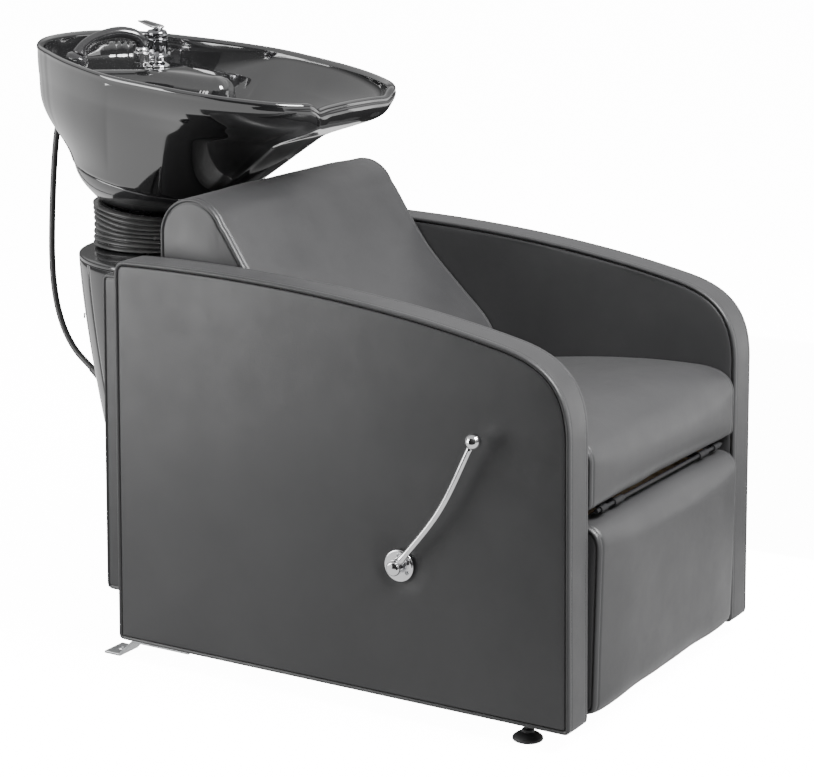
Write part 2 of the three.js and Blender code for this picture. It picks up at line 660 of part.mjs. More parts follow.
function makeColumn() {
  const outer = COLUMN_TOP_R;
  const inner = COLUMN_TOP_R - COLUMN_WALL;
  const top = COLUMN_TOP - TOP_PLATE - GAP;
  const seam = 0.008;
  const right = COVER_ANGLE - seam;
  const left = Math.PI - right;
  const wall = COLUMN_WALL;
  const foot = Math.asin(wall / inner);
  const shell = [
    ...arc(outer, 0, right, 5), ...arc(inner, right, foot, 5),
    ...arc(inner, Math.PI - foot, left, 5), ...arc(outer, left, Math.PI, 5),
  ];
  add('column_shell', columnPiece(shell, 7, top), glossPlastic);

  const cover = [
    ...arc(outer, COVER_ANGLE, Math.PI - COVER_ANGLE, 14),
    ...arc(inner, Math.PI - COVER_ANGLE, COVER_ANGLE, 14),
  ];
  const bore = rod(HOSE_IN, HOSE_IN_AIM, -GLAND_BORE, GLAND_BORE, GLAND_R + GAP);
  add('column_rear_cover', cut(columnPiece(cover, 7, top), bore), glossPlastic);

  const plan = polygon([...arc(outer, 0, Math.PI, 24)]);
  const lid = alongZ(plan, COLUMN_TOP - TOP_PLATE, COLUMN_TOP, 2).translate(0, COLUMN_FACE, 0);
  const throughTop = [COLUMN_TOP - TOP_PLATE - 5, COLUMN_TOP + 5];
  const hoseSlot = alongZ(stadium([-SUPPLY.x, SUPPLY.y], [SUPPLY.x, SUPPLY.y], SUPPLY.r + 3), ...throughTop);
  add('column_top', cut(lid, barZ(0, DRAIN.hoseY, ...throughTop, DRAIN.hoseHole), hoseSlot), glossPlastic);
}

function makeCoverScrews() {
  const { angle, high, head, thick } = COVER_SCREWS;
  for (const [name, turn] of [['left', angle], ['right', Math.PI - angle]]) {
    const out = new THREE.Vector3(Math.cos(turn), Math.sin(turn), 0);
    const face = new THREE.Vector3(0, COLUMN_FACE, high).addScaledVector(out, columnRadius(high + head));
    add(`${name}_cover_screw`, rod(face, out, GAP, GAP + thick, head, 14), steel);
  }
}

function makeMast() {
  const { half, y0, y1, z0, bracketLow, bracketHigh, bracketTall } = MAST;
  const wall = 3;
  const post = box(-half, half, y0, y1, z0, COLUMN_TOP - TOP_PLATE - GAP);
  const bore = box(-half + wall, half - wall, y0 + wall, y1 - wall, z0 - 5, COLUMN_TOP);
  const back = COLUMN_FACE + COLUMN_WALL + 1;
  const clamps = [bracketLow, bracketHigh].map((low) => cut(
    box(-half - wall, half + wall, back, y1, low, low + bracketTall),
    box(-half + 1, half - 1, back + wall, y1 + 5, low - 5, low + bracketTall + 5)));
  add('column_mast', cut(join(post, ...clamps), bore), blackSteel);
}

// ---- basin tilt and bellows ---------------------------------------------------------------

/** The pin joint in the neck: two ears on the column, two arms under the basin, and the pin through them. */
function makeTilt() {
  const { y, z, pin, earX, armX, thick, foot, pinHalf } = TILT;
  const far = foot + 15;
  const pinHole = barX(-far, far, y, z, pin + GAP, 16);
  const seat = box(-foot, foot, y - 20, y + 20, COLUMN_TOP + GAP, COLUMN_TOP + thick);
  const ear = stadium([y, z], [y, COLUMN_TOP + 20], 16);
  const base = join(seat, alongX(ear, -earX - thick, -earX), alongX(ear, earX, earX + thick));
  const below = box(-far, far, y - 40, y + 40, COLUMN_TOP - 25, COLUMN_TOP + GAP);
  add('tilt_base', cut(base, pinHole, below), blackSteel);
  add('tilt_pin', barX(-pinHalf, pinHalf, y, z, pin, 16), steel);

  const arm = stadium([y, z], [y, TILT_PLATE.z0 - 2], 13);
  const plate = box(-pinHalf, pinHalf, y - 24, y + 24, TILT_PLATE.z0, TILT_PLATE.z1);
  const above = box(-far, far, y - 60, y + 60, TILT_PLATE.z1, TILT_PLATE.z1 + 40);
  const bracket = join(alongX(arm, -armX - thick, -armX), alongX(arm, armX, armX + thick), plate);
  add('tilt_bracket', cut(bracket, pinHole, above), blackSteel);
}

function makeBellows() {
  const { r, valley, wall, folds, z0, z1, lean } = BELLOWS;
  const pitch = (z1 - z0) / (folds + 1);
  const outside = [[r, z0], [r, z0 + pitch / 2]];
  for (let i = 1; i <= folds; i += 1) {
    outside.push([valley, z0 + i * pitch]);
    outside.push([r, z0 + (i + 0.5) * pitch]);
  }
  outside.push([valley, z1]);
  const inside = outside.map(([radius, z]) => [radius - wall, z]).reverse();
  const profile = [...outside, ...inside, outside[0]];
  const geometry = turned(profile, 0, NECK_Y, 24);
  const position = geometry.attributes.position;
  const slope = Math.tan(THREE.MathUtils.degToRad(lean));
  for (let i = 0; i < position.count; i += 1) {
    const share = (position.getZ(i) - z0) / (z1 - z0);
    position.setZ(i, position.getZ(i) + share * slope * (position.getY(i) - NECK_Y));
  }
  add('bellows', geometry, rubber);
}

// ---- basin --------------------------------------------------------------------------------

const rimCurve = new THREE.CatmullRomCurve3([
  ...HALF_RIM.map(([x, y]) => new THREE.Vector3(x, y, 0)),
  new THREE.Vector3(0, 552, 0),
  ...HALF_RIM.slice(1).reverse().map(([x, y]) => new THREE.Vector3(-x, y, 0)),
], true, 'centripetal');

const rimSamples = rimCurve.getPoints(RIM_STEPS).map((p) => {
  const offset = new THREE.Vector2(p.x, p.y).sub(RIM_CENTRE);
  return { angle: (offset.angle() + 2 * Math.PI) % (2 * Math.PI), radius: offset.length() };
}).sort((a, b) => a.angle - b.angle);

function rimRadius(angle) {
  const wanted = (angle + 2 * Math.PI) % (2 * Math.PI);
  let best = rimSamples[0];
  for (const sample of rimSamples) {
    if (Math.abs(sample.angle - wanted) < Math.abs(best.angle - wanted)) best = sample;
  }
  return best.radius;
}

const rimHeight = (y) => RIM.z + RIM.slope * (y - RIM.front);

/** A point of the rim, moved inwards in plan and down. */
function rimPoint(angle, inwards, down) {
  const radius = rimRadius(angle) - inwards;
  const x = RIM_CENTRE.x + radius * Math.cos(angle);
  const y = RIM_CENTRE.y + radius * Math.sin(angle);
  return new THREE.Vector3(x, y, rimHeight(y) - down);
}

/** A point of the skirt's lower edge: a round ring that leans forward. */
function skirtPoint(angle, inwards, down = 0) {
  const radius = SKIRT.r - inwards;
  const x = radius * Math.cos(angle);
  const y = SKIRT.y + radius * Math.sin(angle);
  const z = SKIRT.z + Math.tan(THREE.MathUtils.degToRad(SKIRT.lean)) * (y - SKIRT.y) - down;
  return new THREE.Vector3(x, y, z);
}

/** The outer wall between the skirt's lower edge at 0 and the rim at 1. It swells most at the back. */
function wallPoint(angle, share, inwards) {
  const toRear = Math.sin(angle);
  const swell = SWELL.side + SWELL.rear * Math.max(0, toRear) - SWELL.front * Math.max(0, -toRear);
  const point = skirtPoint(angle, inwards).lerp(rimPoint(angle, inwards, 0), share);
  const bulge = swell * Math.sin(Math.PI * share ** 1.5);
  point.x += bulge * Math.cos(angle);
  point.y += bulge * Math.sin(angle);
  return point;
}

/** How thick the wall is across, which is more under the sloping front. */
const wallThick = (angle) => BASIN_WALL + 5 * Math.max(0, -Math.sin(angle));

/** The height at which the bowl's round bottom meets its wall. */
const bottomHeight = (angle) => BOWL_FLOOR + 27 + 19 * Math.sin(angle);

/** A point of the bowl's wall, from the top of its round bottom at 0 to the rim at 1. */
function bowlWall(angle, share, outwards) {
  const inwards = wallThick(angle) - outwards;
  const low = skirtPoint(angle, inwards).z;
  const high = rimPoint(angle, inwards, 0).z;
  const start = (bottomHeight(angle) - outwards - low) / (high - low);
  return wallPoint(angle, start + (1 - start) * share, inwards);
}

/** A point of the bowl's round bottom, at a share of the way out from its middle. */
function bowlBottom(angle, out, outwards) {
  const edge = bowlWall(angle, 0, outwards);
  const floor = BOWL_FLOOR - outwards;
  const flat = BOTTOM_LEVELS[0];
  const rise = ((out - flat) / (1 - flat)) ** 2;
  return new THREE.Vector3(
    edge.x * out, BOWL_MIDDLE + (edge.y - BOWL_MIDDLE) * out, floor + (edge.z - floor) * rise);
}

function bowlSolid(outwards) {
  const rings = BOTTOM_LEVELS.map((out) => (angle) => bowlBottom(angle, out, outwards));
  for (const share of BOWL_LEVELS) rings.push((angle) => bowlWall(angle, share, outwards));
  rings.push((angle) => rimPoint(angle, wallThick(angle) - outwards, 4));
  rings.push((angle) => rimPoint(angle, wallThick(angle) - 3 - outwards, 0));
  rings.push((angle) => rimPoint(angle, wallThick(angle) - 3 - outwards, -30));
  return loft(rings, BASIN_SIDES);
}

/** The plan of the tap deck: a tongue from the back wall that narrows to a round tip. */
function deckPlan(outwards) {
  const tip = DECK_TIP;
  const plan = new THREE.Shape();
  plan.moveTo(190 + outwards, 1120);
  plan.lineTo(120 + outwards, 975);
  plan.quadraticCurveTo(72 + outwards, 900, 24 + outwards, tip + 22 - outwards);
  plan.quadraticCurveTo(0, tip - 12 - outwards, -24 - outwards, tip + 22 - outwards);
  plan.quadraticCurveTo(-72 - outwards, 900, -120 - outwards, 975);
  plan.lineTo(-190 - outwards, 1120);
  return plan;
}

function makeBasin() {
  const outerRings = [(angle) => skirtPoint(angle, 0)];
  for (const share of WALL_LEVELS) outerRings.push((angle) => wallPoint(angle, share, 0));
  outerRings.push((angle) => rimPoint(angle, 0, 5));
  outerRings.push((angle) => rimPoint(angle, 1.5, 1));
  outerRings.push((angle) => rimPoint(angle, 5, 0));
  const outer = solid(loft(outerRings, BASIN_SIDES));

  const bowl = solid(bowlSolid(0));
  const deck = solid(alongZ(deckPlan(0), 690, DECK_TOP, 6));
  const basinInside = bowl.subtract(deck);

  const hollowRings = [40, 0].map((down) => (angle) => skirtPoint(angle, BASIN_WALL, down));
  for (const share of WALL_LEVELS) hollowRings.push((angle) => wallPoint(angle, share, BASIN_WALL));
  const deckRoom = solid(alongZ(deckPlan(-BASIN_WALL), 640, DECK_TOP - BASIN_WALL, 4));
  const bowlThick = solid(bowlSolid(BASIN_WALL)).subtract(deckRoom);
  const rimKeep = solid(box(-400, 400, 400, 1200, 838, 1000));
  const rimBand = rimKeep.subtract(deckRoom);
  const hollow = solid(loft(hollowRings, BASIN_SIDES)).subtract(bowlThick).subtract(rimBand);

  const holes = [
    barZ(0, DRAIN.y, 640, 800, DRAIN.r + GAP, 24),
    barZ(0, TAP_Y, 800, 900, 14, 20),
    barZ(HOLDER.x, HOLDER.y, 800, 900, 11, 20),
    rod(HOSE_OUT, HOSE_OUT_AIM, -GLAND_BORE, GLAND_BORE, GLAND_R + GAP),
  ];
  const walls = outer.subtract(basinInside).subtract(hollow);
  const shell = holes.reduce((body, hole) => body.subtract(solid(hole)), walls);
  const largest = shell.decompose().sort((a, b) => b.volume() - a.volume())[0];
  add('basin_bowl', toGeometry(largest), glaze);
}

/** A plastic collar that closes the skirt down to the neck. */
function makeCollar() {
  const neck = (angle, inwards, down) => {
    const radius = BELLOWS.valley - 4 - inwards;
    const y = NECK_Y + radius * Math.sin(angle);
    const lean = Math.tan(THREE.MathUtils.degToRad(BELLOWS.lean)) * (y - NECK_Y);
    return new THREE.Vector3(radius * Math.cos(angle), y, BELLOWS.z1 + 4 + lean - down);
  };
  const belly = (angle) => skirtPoint(angle, 6, 1).lerp(neck(angle, 0, 0), 0.5)
    .add(new THREE.Vector3(5 * Math.cos(angle), 5 * Math.sin(angle), -4));
  const rings = [
    (angle) => skirtPoint(angle, BASIN_WALL + 4, -6),
    (angle) => skirtPoint(angle, BASIN_WALL + 1, -6),
    (angle) => skirtPoint(angle, BASIN_WALL + 1, 1),
    (angle) => skirtPoint(angle, 6, 3),
    (angle) => belly(angle),
    (angle) => neck(angle, 0, 0),
    (angle) => neck(angle, 4, 0),
    (angle) => skirtPoint(angle, 14, -1).lerp(neck(angle, 4, -5), 0.5),
    (angle) => skirtPoint(angle, 14, -3),
  ];
  const geometry = new ParametricGeometry((u, v, target) => {
    const level = Math.round(v * rings.length) % rings.length;
    target.copy(rings[level](u === 1 ? 0 : -u * 2 * Math.PI));
  }, 40, rings.length);
  add('basin_collar', geometry, mattePlastic);
}

// ---- drain and supplies -------------------------------------------------------------------

function makeDrain() {
  const { y, r, depth, elbowR, hoseY } = DRAIN;
  const top = BOWL_FLOOR + 3;
  const low = BOWL_FLOOR - depth;
  const lip = BOWL_FLOOR + GAP;
  add('drain_flange', turned([
    [r - 5, low], [r - 1, low], [r - 1, lip], [r + 6, lip], [r + 4, top], [r - 3, top], [r - 5, top - 5],
    [r - 5, low],
  ], 0, y, 28), chrome);
  const disc = barZ(0, y, top - 6, top - 3, r - 5.6, 24);
  const slots = [-9, -3, 3, 9].map((x) => box(x - 1.4, x + 1.4, y - 10, y + 10, top - 10, top));
  add('drain_strainer', join(cut(disc, ...slots), barZ(0, y, top - 5, top, 1.4, 10)), chrome);
  add('drain_elbow', tube([
    [0, y, low - GAP], [0, y + 3, low - 8], [0, y + 14, low - 17], [0, y + 34, low - 24],
    [0, y + 56, low - 32],
  ], elbowR, 10), mattePlastic);
  add('drain_hose', tube([
    [0, y + 56.8, low - 32.3], [0, 838, 688], [0, 862, 670], [0, hoseY - 4, 645], [0, hoseY, 610],
    [0, hoseY, 560], [0, hoseY, 300], [0, hoseY, COLUMN_LOW + 8],
  ], elbowR, 26), mattePlastic);
}

function makeSupplyHoses() {
  const start = TAP_TAIL - GAP;
  for (const [name, side] of [['cold', -1], ['hot', 1]]) {
    const route = [[6.5, TAP_Y, start], ...SUPPLY.route].map(([x, y, z]) => [side * x, y, z]);
    add(`${name}_supply_hose`, tube(route, SUPPLY.r, 26, 8), steel);
  }
}

// ---- tap and hand shower ------------------------------------------------------------------

function makeTap() {
  const z = DECK_TOP + GAP;
  const { stem, ring, body, bodyLow, bodyHigh, capHigh } = TAP;
  add('tap_base', turned([
    [0, TAP_TAIL], [13, TAP_TAIL], [13, z], [21, z], [21, z + 3], [17, z + 6], [stem, z + 7],
    [stem, bodyLow - GAP], [0, bodyLow - GAP],
  ], 0, TAP_Y), chrome);

  const shell = turned([
    [0, bodyLow], [ring, bodyLow], [ring, bodyLow + 2], [body, bodyLow + 5], [body, bodyHigh], [0, bodyHigh],
  ], 0, TAP_Y);
  const bridge = alongZ(stadium([0, TAP_Y], [HOLDER.x, HOLDER.y], 8), bodyLow, bodyLow + 5);
  add('tap_body', cut(join(shell, bridge), barZ(HOLDER.x, HOLDER.y, 880, 930, HOLDER.r + GAP, 24)), chrome);

  add('tap_cap', turned([
    [0, bodyHigh + GAP], [body - 0.5, bodyHigh + GAP], [body - 0.5, capHigh - 3], [body - 4, capHigh],
    [0, capHigh],
  ], 0, TAP_Y), chrome);

  const { rear, tip, wide, narrow, thick, rise, heading } = TAP_LEVER;
  const blade = polygon([
    [-rear, -narrow], [rear, -wide], [tip - 4, -narrow - 1], [tip, 0], [tip - 4, narrow + 1], [rear, wide],
    [-rear, narrow],
  ]);
  const seat = capHigh + GAP + rear * Math.sin(rise);
  const lever = alongZ(blade, 0, thick, 1.5).rotateY(-rise).rotateZ(heading);
  add('tap_lever', lever.translate(0, TAP_Y, seat), chrome);
}

function makeHandShower() {
  const { x, y, r, bore, top } = HOLDER;
  const z = DECK_TOP + GAP;
  const sleeve = turned([
    [bore, z], [r + 3, z], [r + 3, z + 3], [r, z + 5], [r, top], [bore, top], [bore, z],
  ], x, y);
  add('shower_holder', sleeve, chrome);
  const { collarR } = HANDSET;
  const spigot = turned([
    [0, z + 6], [bore - 0.6, z + 6], [bore - 0.6, top + GAP], [collarR, top + GAP], [collarR, top + 5],
    [collarR - 2, top + 7], [0, top + 7],
  ], x, y);
  const head = new THREE.Vector3(x, y, 0).add(HANDSET.head);
  const aim = HANDSET.aim.clone().normalize();
  const behind = (distance) => head.clone().addScaledVector(aim, -distance).toArray();
  const body = tube([
    ...HANDSET.route.map(([dx, dy, z]) => [x + dx, y + dy, z]), behind(18), behind(HANDSET.headBack + GAP),
  ], HANDSET.r, 18);
  add('handset_body', join(body, spigot), glossPlastic);
  add('handset_head', rod(head, aim, -HANDSET.headBack, HANDSET.headFront, HANDSET.headR, 24), glossPlastic);
}

// ---- shower hose --------------------------------------------------------------------------

function makeShowerHose() {
  const reach = 6;
  add('hose_basin_gland', rod(HOSE_OUT, HOSE_OUT_AIM, -14, reach, GLAND_R), rubber);
  add('hose_column_gland', rod(HOSE_IN, HOSE_IN_AIM, -14, 22, GLAND_R), rubber);
  add('shower_hose', tube(HOSE_ROUTE, HOSE_R, 56), rubber);
}

makeArm('right', -1, SHAFT_R + 1);
makeArm('left', 1, 0);
for (const [name, side] of [['right', -1], ['left', 1]]) {
  makeFoot(name, side);
  makeFloorBracket(name, side);
}
makeSeat();
makeBackrest();
makeRearPanel();
makeSeatFrame();
makeLegRest();
makeLegRestHinge();
makeLeverMount();
makeLever();
makeLinkage();
makeColumn();
makeCoverScrews();
makeMast();
makeTilt();
makeBellows();
makeBasin();
makeCollar();
makeDrain();
makeSupplyHoses();
makeTap();
makeHandShower();
makeShowerHose();

unit.position.copy(FOOTPRINT_CENTRE).negate();
export default unit;
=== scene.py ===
import json
import math

import bmesh
import bpy
import numpy as np
from mathutils import Matrix, Vector, noise


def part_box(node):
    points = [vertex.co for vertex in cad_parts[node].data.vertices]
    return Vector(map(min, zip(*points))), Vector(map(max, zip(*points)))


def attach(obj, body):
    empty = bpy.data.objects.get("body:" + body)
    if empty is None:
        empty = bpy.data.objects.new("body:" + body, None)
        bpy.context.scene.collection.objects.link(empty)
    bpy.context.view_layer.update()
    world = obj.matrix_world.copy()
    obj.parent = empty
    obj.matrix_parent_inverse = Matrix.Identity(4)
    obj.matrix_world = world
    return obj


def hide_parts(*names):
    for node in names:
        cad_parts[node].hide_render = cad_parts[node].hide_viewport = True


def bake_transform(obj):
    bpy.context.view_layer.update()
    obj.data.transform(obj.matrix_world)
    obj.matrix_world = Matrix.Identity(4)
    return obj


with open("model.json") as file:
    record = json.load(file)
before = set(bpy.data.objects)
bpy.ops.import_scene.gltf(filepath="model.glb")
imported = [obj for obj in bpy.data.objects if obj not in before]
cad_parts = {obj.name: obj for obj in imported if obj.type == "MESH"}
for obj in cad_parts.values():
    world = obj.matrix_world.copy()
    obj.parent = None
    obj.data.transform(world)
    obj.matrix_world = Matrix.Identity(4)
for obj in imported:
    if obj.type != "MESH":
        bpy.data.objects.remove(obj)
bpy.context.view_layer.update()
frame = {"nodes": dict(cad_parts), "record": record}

# ---- the unit's own frame ----
# Shapes are drawn in millimetres: x from the mid-plane, y from the upper edge of the arms' front,
# z from the floor. A profile that is turned about an axis is a list of (radius, place along the axis).

MM = 0.001
# How far the foot of an arm's front stands forward of the edge above it.
ARM_RAKE = 12
RIGHT_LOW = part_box("right_edge_band")[0]
LEFT_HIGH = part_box("left_edge_band")[1]
ORIGIN = Vector(((RIGHT_LOW.x + LEFT_HIGH.x) / 2, RIGHT_LOW.y + ARM_RAKE * MM, 0))


def place(x, y, z):
    """A point of the unit's own frame, in the row frame."""
    return ORIGIN + Vector((x, y, z)) * MM


def limits(node):
    """A CAD node's lowest and highest corners in the unit's own frame."""
    low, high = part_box(node)
    return (low - ORIGIN) / MM, (high - ORIGIN) / MM


def middle(node):
    """The middle of a CAD node's box in the unit's own frame."""
    low, high = limits(node)
    return (low + high) / 2


# ---- camera ----

CAMERA_AT = (-3348.9, -1484.4, 1350.1)
CAMERA_AZIMUTH, CAMERA_ELEVATION, CAMERA_ROLL = -60.1, 13.7, 0.76
CAMERA_LENS, CAMERA_SENSOR = 112.7, 36


def add_object(name, data):
    obj = bpy.data.objects.new(name, data)
    bpy.context.collection.objects.link(obj)
    return obj


def make_camera():
    a, e, roll = (math.radians(v) for v in (CAMERA_AZIMUTH, CAMERA_ELEVATION, CAMERA_ROLL))
    back = Vector((math.sin(a) * math.cos(e), -math.cos(a) * math.cos(e), math.sin(e)))
    level = Vector((math.cos(a), math.sin(a), 0))
    right = level * math.cos(roll) + back.cross(level) * math.sin(roll)
    up = back.cross(right)
    camera = add_object("camera", bpy.data.cameras.new("camera"))
    turn = Matrix((right, up, back)).transposed().to_4x4()
    camera.matrix_world = Matrix.Translation(place(*CAMERA_AT)) @ turn
    camera.data.lens = CAMERA_LENS
    camera.data.sensor_width = CAMERA_SENSOR
    camera.data.clip_end = 50
    bpy.context.scene.camera = camera


make_camera()

# ---- node materials ----


def set_stops(ramp, stops):
    """Puts (place, value or colour) stops on a colour ramp node."""
    elements = ramp.color_ramp.elements
    while len(elements) < len(stops):
        elements.new(0.5)
    for element, (at, value) in zip(elements, stops):
        element.position = at
        element.color = (*(value if isinstance(value, tuple) else (value,) * 3), 1)


def surface(name, colour, roughness=None, bumps=(), **values):
    """A Principled material whose colour, roughness and bump come from procedural textures.

    A texture is (scale, detail) for noise or (scale,) for cells, with a stretch last if it has one. colour
    and roughness are (texture, low value, high value), with the ramp's two stops after them if they aren't
    the usual ones, and a bump is (texture, distance, strength)."""
    material = bpy.data.materials.new(name)
    material.use_nodes = True
    nodes, links = material.node_tree.nodes, material.node_tree.links
    shader = nodes["Principled BSDF"]
    for socket, value in values.items():
        shader.inputs[socket.replace("_", " ")].default_value = value
    where = nodes.new("ShaderNodeTexCoord").outputs["Object"]

    def texture(scale, detail=None, stretch=None):
        node = nodes.new("ShaderNodeTexVoronoi" if detail is None else "ShaderNodeTexNoise")
        node.inputs["Scale"].default_value = scale
        vector = where
        if stretch:
            mapping = nodes.new("ShaderNodeMapping")
            mapping.inputs["Scale"].default_value = stretch
            links.new(where, mapping.inputs["Vector"])
            vector = mapping.outputs["Vector"]
        links.new(vector, node.inputs["Vector"])
        if detail is None:
            return node.outputs["Distance"]
        node.inputs["Detail"].default_value = detail
        return node.outputs["Fac"]

    def ramp(source, low, high, start=0.3, end=0.7):
        node = nodes.new("ShaderNodeValToRGB")
        set_stops(node, [(start, low), (end, high)])
        links.new(texture(*source), node.inputs["Fac"])
        return node.outputs["Color"]

    links.new(ramp(*colour), shader.inputs["Base Color"])
    if roughness:
        links.new(ramp(*roughness), shader.inputs["Roughness"])
    normal = None
    for source, distance, strength in bumps:
        node = nodes.new("ShaderNodeBump")
        node.inputs["Strength"].default_value = strength
        node.inputs["Distance"].default_value = distance
        links.new(texture(*source), node.inputs["Height"])
        if normal:
            links.new(normal, node.inputs["Normal"])
        normal = node.outputs["Normal"]
    if normal:
        links.new(normal, shader.inputs["Normal"])
    return material


def cold(level, blue):
    """A grey with a little more blue."""
    return level, level, level + blue


LEATHER = surface(
    "black_leatherette", ((9, 5), cold(0.024, 0.001), cold(0.030, 0.001)), ((22, 4), 0.38, 0.47),
    [((35, 2), 0.0006, 0.5), ((1100,), 0.00012, 0.55), ((2600, 2), 0.00005, 0.5)],
    Specular_IOR_Level=0.5, Sheen_Weight=0.06, Sheen_Roughness=0.5)
THREAD = surface(
    "black_thread", ((900, 2), cold(0.040, 0.001), cold(0.070, 0.001)), bumps=[((2500, 2), 0.0001, 0.6)],
    Roughness=0.6)
GLAZE = surface(
    "black_glaze", ((14, 3), cold(0.009, 0.0005), cold(0.013, 0.0005)), ((30, 3), 0.05, 0.10),
    [((28, 1), 0.0004, 0.12)], IOR=1.7, Coat_Weight=1.0, Coat_Roughness=0.015, Coat_IOR=1.75)
# polished chrome, and a darker copy of the same chrome whose lower colour is painted shade, used on the tap's
# barrel and dome
CHROME, CHROME_PAINTED_SHADE = (
    surface(
        name, ((40, 2), cold(low, 0.01), cold(high, 0.01)), ((120, 3), 0.04, 0.11),
        [((300, 2), 0.00003, 0.3)], Metallic=1.0)
    for name, low, high in (("polished_chrome", 0.76, 0.84), ("shaded_chrome", 0.22, 0.30)))
ZINC = surface(
    "zinc_plate", ((240,), (0.36, 0.37, 0.38), (0.50, 0.51, 0.52), 0.1, 0.8), ((150, 4), 0.24, 0.42),
    [((700, 3), 0.00006, 0.5)], Metallic=1.0)
BRAID = surface(
    "steel_braid", ((900,), (0.25, 0.25, 0.26), (0.70, 0.70, 0.72), 0.1, 0.6), bumps=[((900,), 0.0004, 0.8)],
    Metallic=1.0, Roughness=0.35)
BLACK_STEEL = surface(
    "black_powder_coat", ((60, 3), cold(0.007, 0.001), cold(0.013, 0.001)), ((200, 3), 0.48, 0.62),
    [((1500, 2), 0.00008, 0.6)], Specular_IOR_Level=0.3)
GLOSS = surface(
    "gloss_black_plastic", ((12, 3), cold(0.012, 0.001), cold(0.020, 0.001)), ((60, 4), 0.12, 0.20),
    [((45, 2), 0.0003, 0.15)], Coat_Weight=0.8, Coat_Roughness=0.04, Coat_IOR=1.7)
MATTE = surface(
    "matt_black_plastic", ((50, 3), cold(0.016, 0.001), cold(0.030, 0.001)), ((80, 3), 0.45, 0.60),
    [((900, 3), 0.0001, 0.5)])
# the hose's rubber and the gaiter's: the same black rubber, with the gaiter's colour made lighter as painted
# sheen for the highlights on its folds
HOSE, BELLOWS_RUBBER_PAINTED_SHEEN = (
    surface(
        name, ((30, 4), low, high), ((70, 4), shine, shine + 0.12), [((600, 3), 0.00015, 0.4)],
        Specular_IOR_Level=0.45)
    for name, low, high, shine in (
        ("hose_rubber", 0.020, 0.032, 0.30), ("bellows_rubber_painted_sheen", 0.050, 0.070, 0.16)))
PLYWOOD = surface(
    "birch_plywood", ((6, 5, (9, 1, 9)), (0.42, 0.29, 0.17), (0.60, 0.46, 0.30), 0.35, 0.65),
    ((60, 3), 0.60, 0.78), [((40, 4, (12, 1, 12)), 0.0004, 0.5)], Specular_IOR_Level=0.3)
BRASS = surface(
    "turned_brass", ((80, 3), (0.50, 0.36, 0.13), (0.62, 0.47, 0.20)), ((300, 3), 0.25, 0.40),
    [((1200, 2, (8, 1, 1)), 0.00005, 0.5)], Metallic=1.0)

SLOT_MATERIALS = {
    "black_leatherette": LEATHER,
    "plywood": PLYWOOD,
    "chrome": CHROME,
    "zinc_steel": ZINC,
    "black_steel": BLACK_STEEL,
    "black_glaze": GLAZE,
    "gloss_black_plastic": GLOSS,
    "matte_black_plastic": MATTE,
    "black_rubber": HOSE,
    "brass": BRASS,
}
SLOTS = {material.name: slot for slot, material in SLOT_MATERIALS.items()}
SLOTS |= {"black_thread": "black_leatherette", "shaded_chrome": "chrome", "bellows_rubber_painted_sheen": "black_rubber"}


def dress_cad_nodes():
    for part in frame["record"]["subparts"]:
        node = frame["nodes"][part["node"]]
        node.data.materials.clear()
        node.data.materials.append(SLOT_MATERIALS[part["material_slot"]])
    for name in ("cold_supply_hose", "hot_supply_hose"):
        frame["nodes"][name].data.materials[0] = BRAID


dress_cad_nodes()

# ---- mesh helpers ----

# Points nearer than this, in metres, are one point.
SAME_POINT = 1e-6


def circle(count):
    """The cosines and sines of a full turn in equal steps."""
    turn = np.linspace(0, 2 * math.pi, count, endpoint=False)
    return np.cos(turn), np.sin(turn)


def swept(centre, radius, u, v, count):
    """A ring about a centre, in the plane of the directions u and v."""
    cos, sin = circle(count)
    return centre + radius * (np.outer(cos, u) + np.outer(sin, v))


def unit(vector):
    vector = np.asarray(vector, float)
    return vector / np.linalg.norm(vector)


def add_piece(name, mesh, material, body, replaced=()):
    obj = add_object(name, mesh)
    mesh.materials.append(material)
    if body is not None:
        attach(obj, body)
    if replaced:
        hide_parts(*replaced)
    return obj


def make(name, points, faces, material, body, replaced=(), slot=None):
    """A mesh from points in the unit's own frame, riding a body and standing for CAD nodes.

    The slot is not used, and a body of None leaves the piece unattached."""
    mesh = bpy.data.meshes.new(name)
    mesh.from_pydata([place(*p) for p in points], [], faces)
    solid = bmesh.new()
    solid.from_mesh(mesh)
    bmesh.ops.remove_doubles(solid, verts=solid.verts, dist=SAME_POINT)
    bmesh.ops.recalc_face_normals(solid, faces=solid.faces)
    solid.to_mesh(mesh)
    solid.free()
    mesh.polygons.foreach_set("use_smooth", [True] * len(mesh.polygons))
    return add_piece(name, mesh, material, body, replaced)


def make_closed(name, rings, *look, **more):
    """A piece through rings, closed at both ends."""
    return make(name, *loft(rings), *look, **more)


def make_hoop(name, rings, *look, **more):
    """A piece through rings whose last one joins the first."""
    points = [tuple(p) for ring in rings for p in ring]
    return make(name, points, ring_faces(len(rings), len(rings[0]), closed=True), *look, **more)


def ring_faces(count, around, closed=False):
    """Quads between rings of points that each run round once."""
    faces = []
    for r in range(count if closed else count - 1):
        low, high = r * around, ((r + 1) % count) * around
        for i in range(around):
            j = (i + 1) % around
            faces.append((low + i, low + j, high + j, high + i))
    return faces


def loft(rings):
    """Points and faces of a closed form through rings, closed by a fan at each end."""
    around = len(rings[0])
    points = [tuple(p) for ring in rings for p in ring]
    faces = ring_faces(len(rings), around)
    last = (len(rings) - 1) * around
    for base, ring in ((0, rings[0]), (last, rings[-1])):
        points.append(tuple(np.mean(ring, axis=0)))
        faces += [(base + i, base + (i + 1) % around, len(points) - 1) for i in range(around)]
    return points, faces


def turned(profile, centre, around):
    """Rings about a vertical axis from (radius, z) pairs."""
    x, y = centre
    cos, sin = circle(around)
    return [np.stack([x + r * cos, y + r * sin, np.full(around, z)], 1) for r, z in profile]


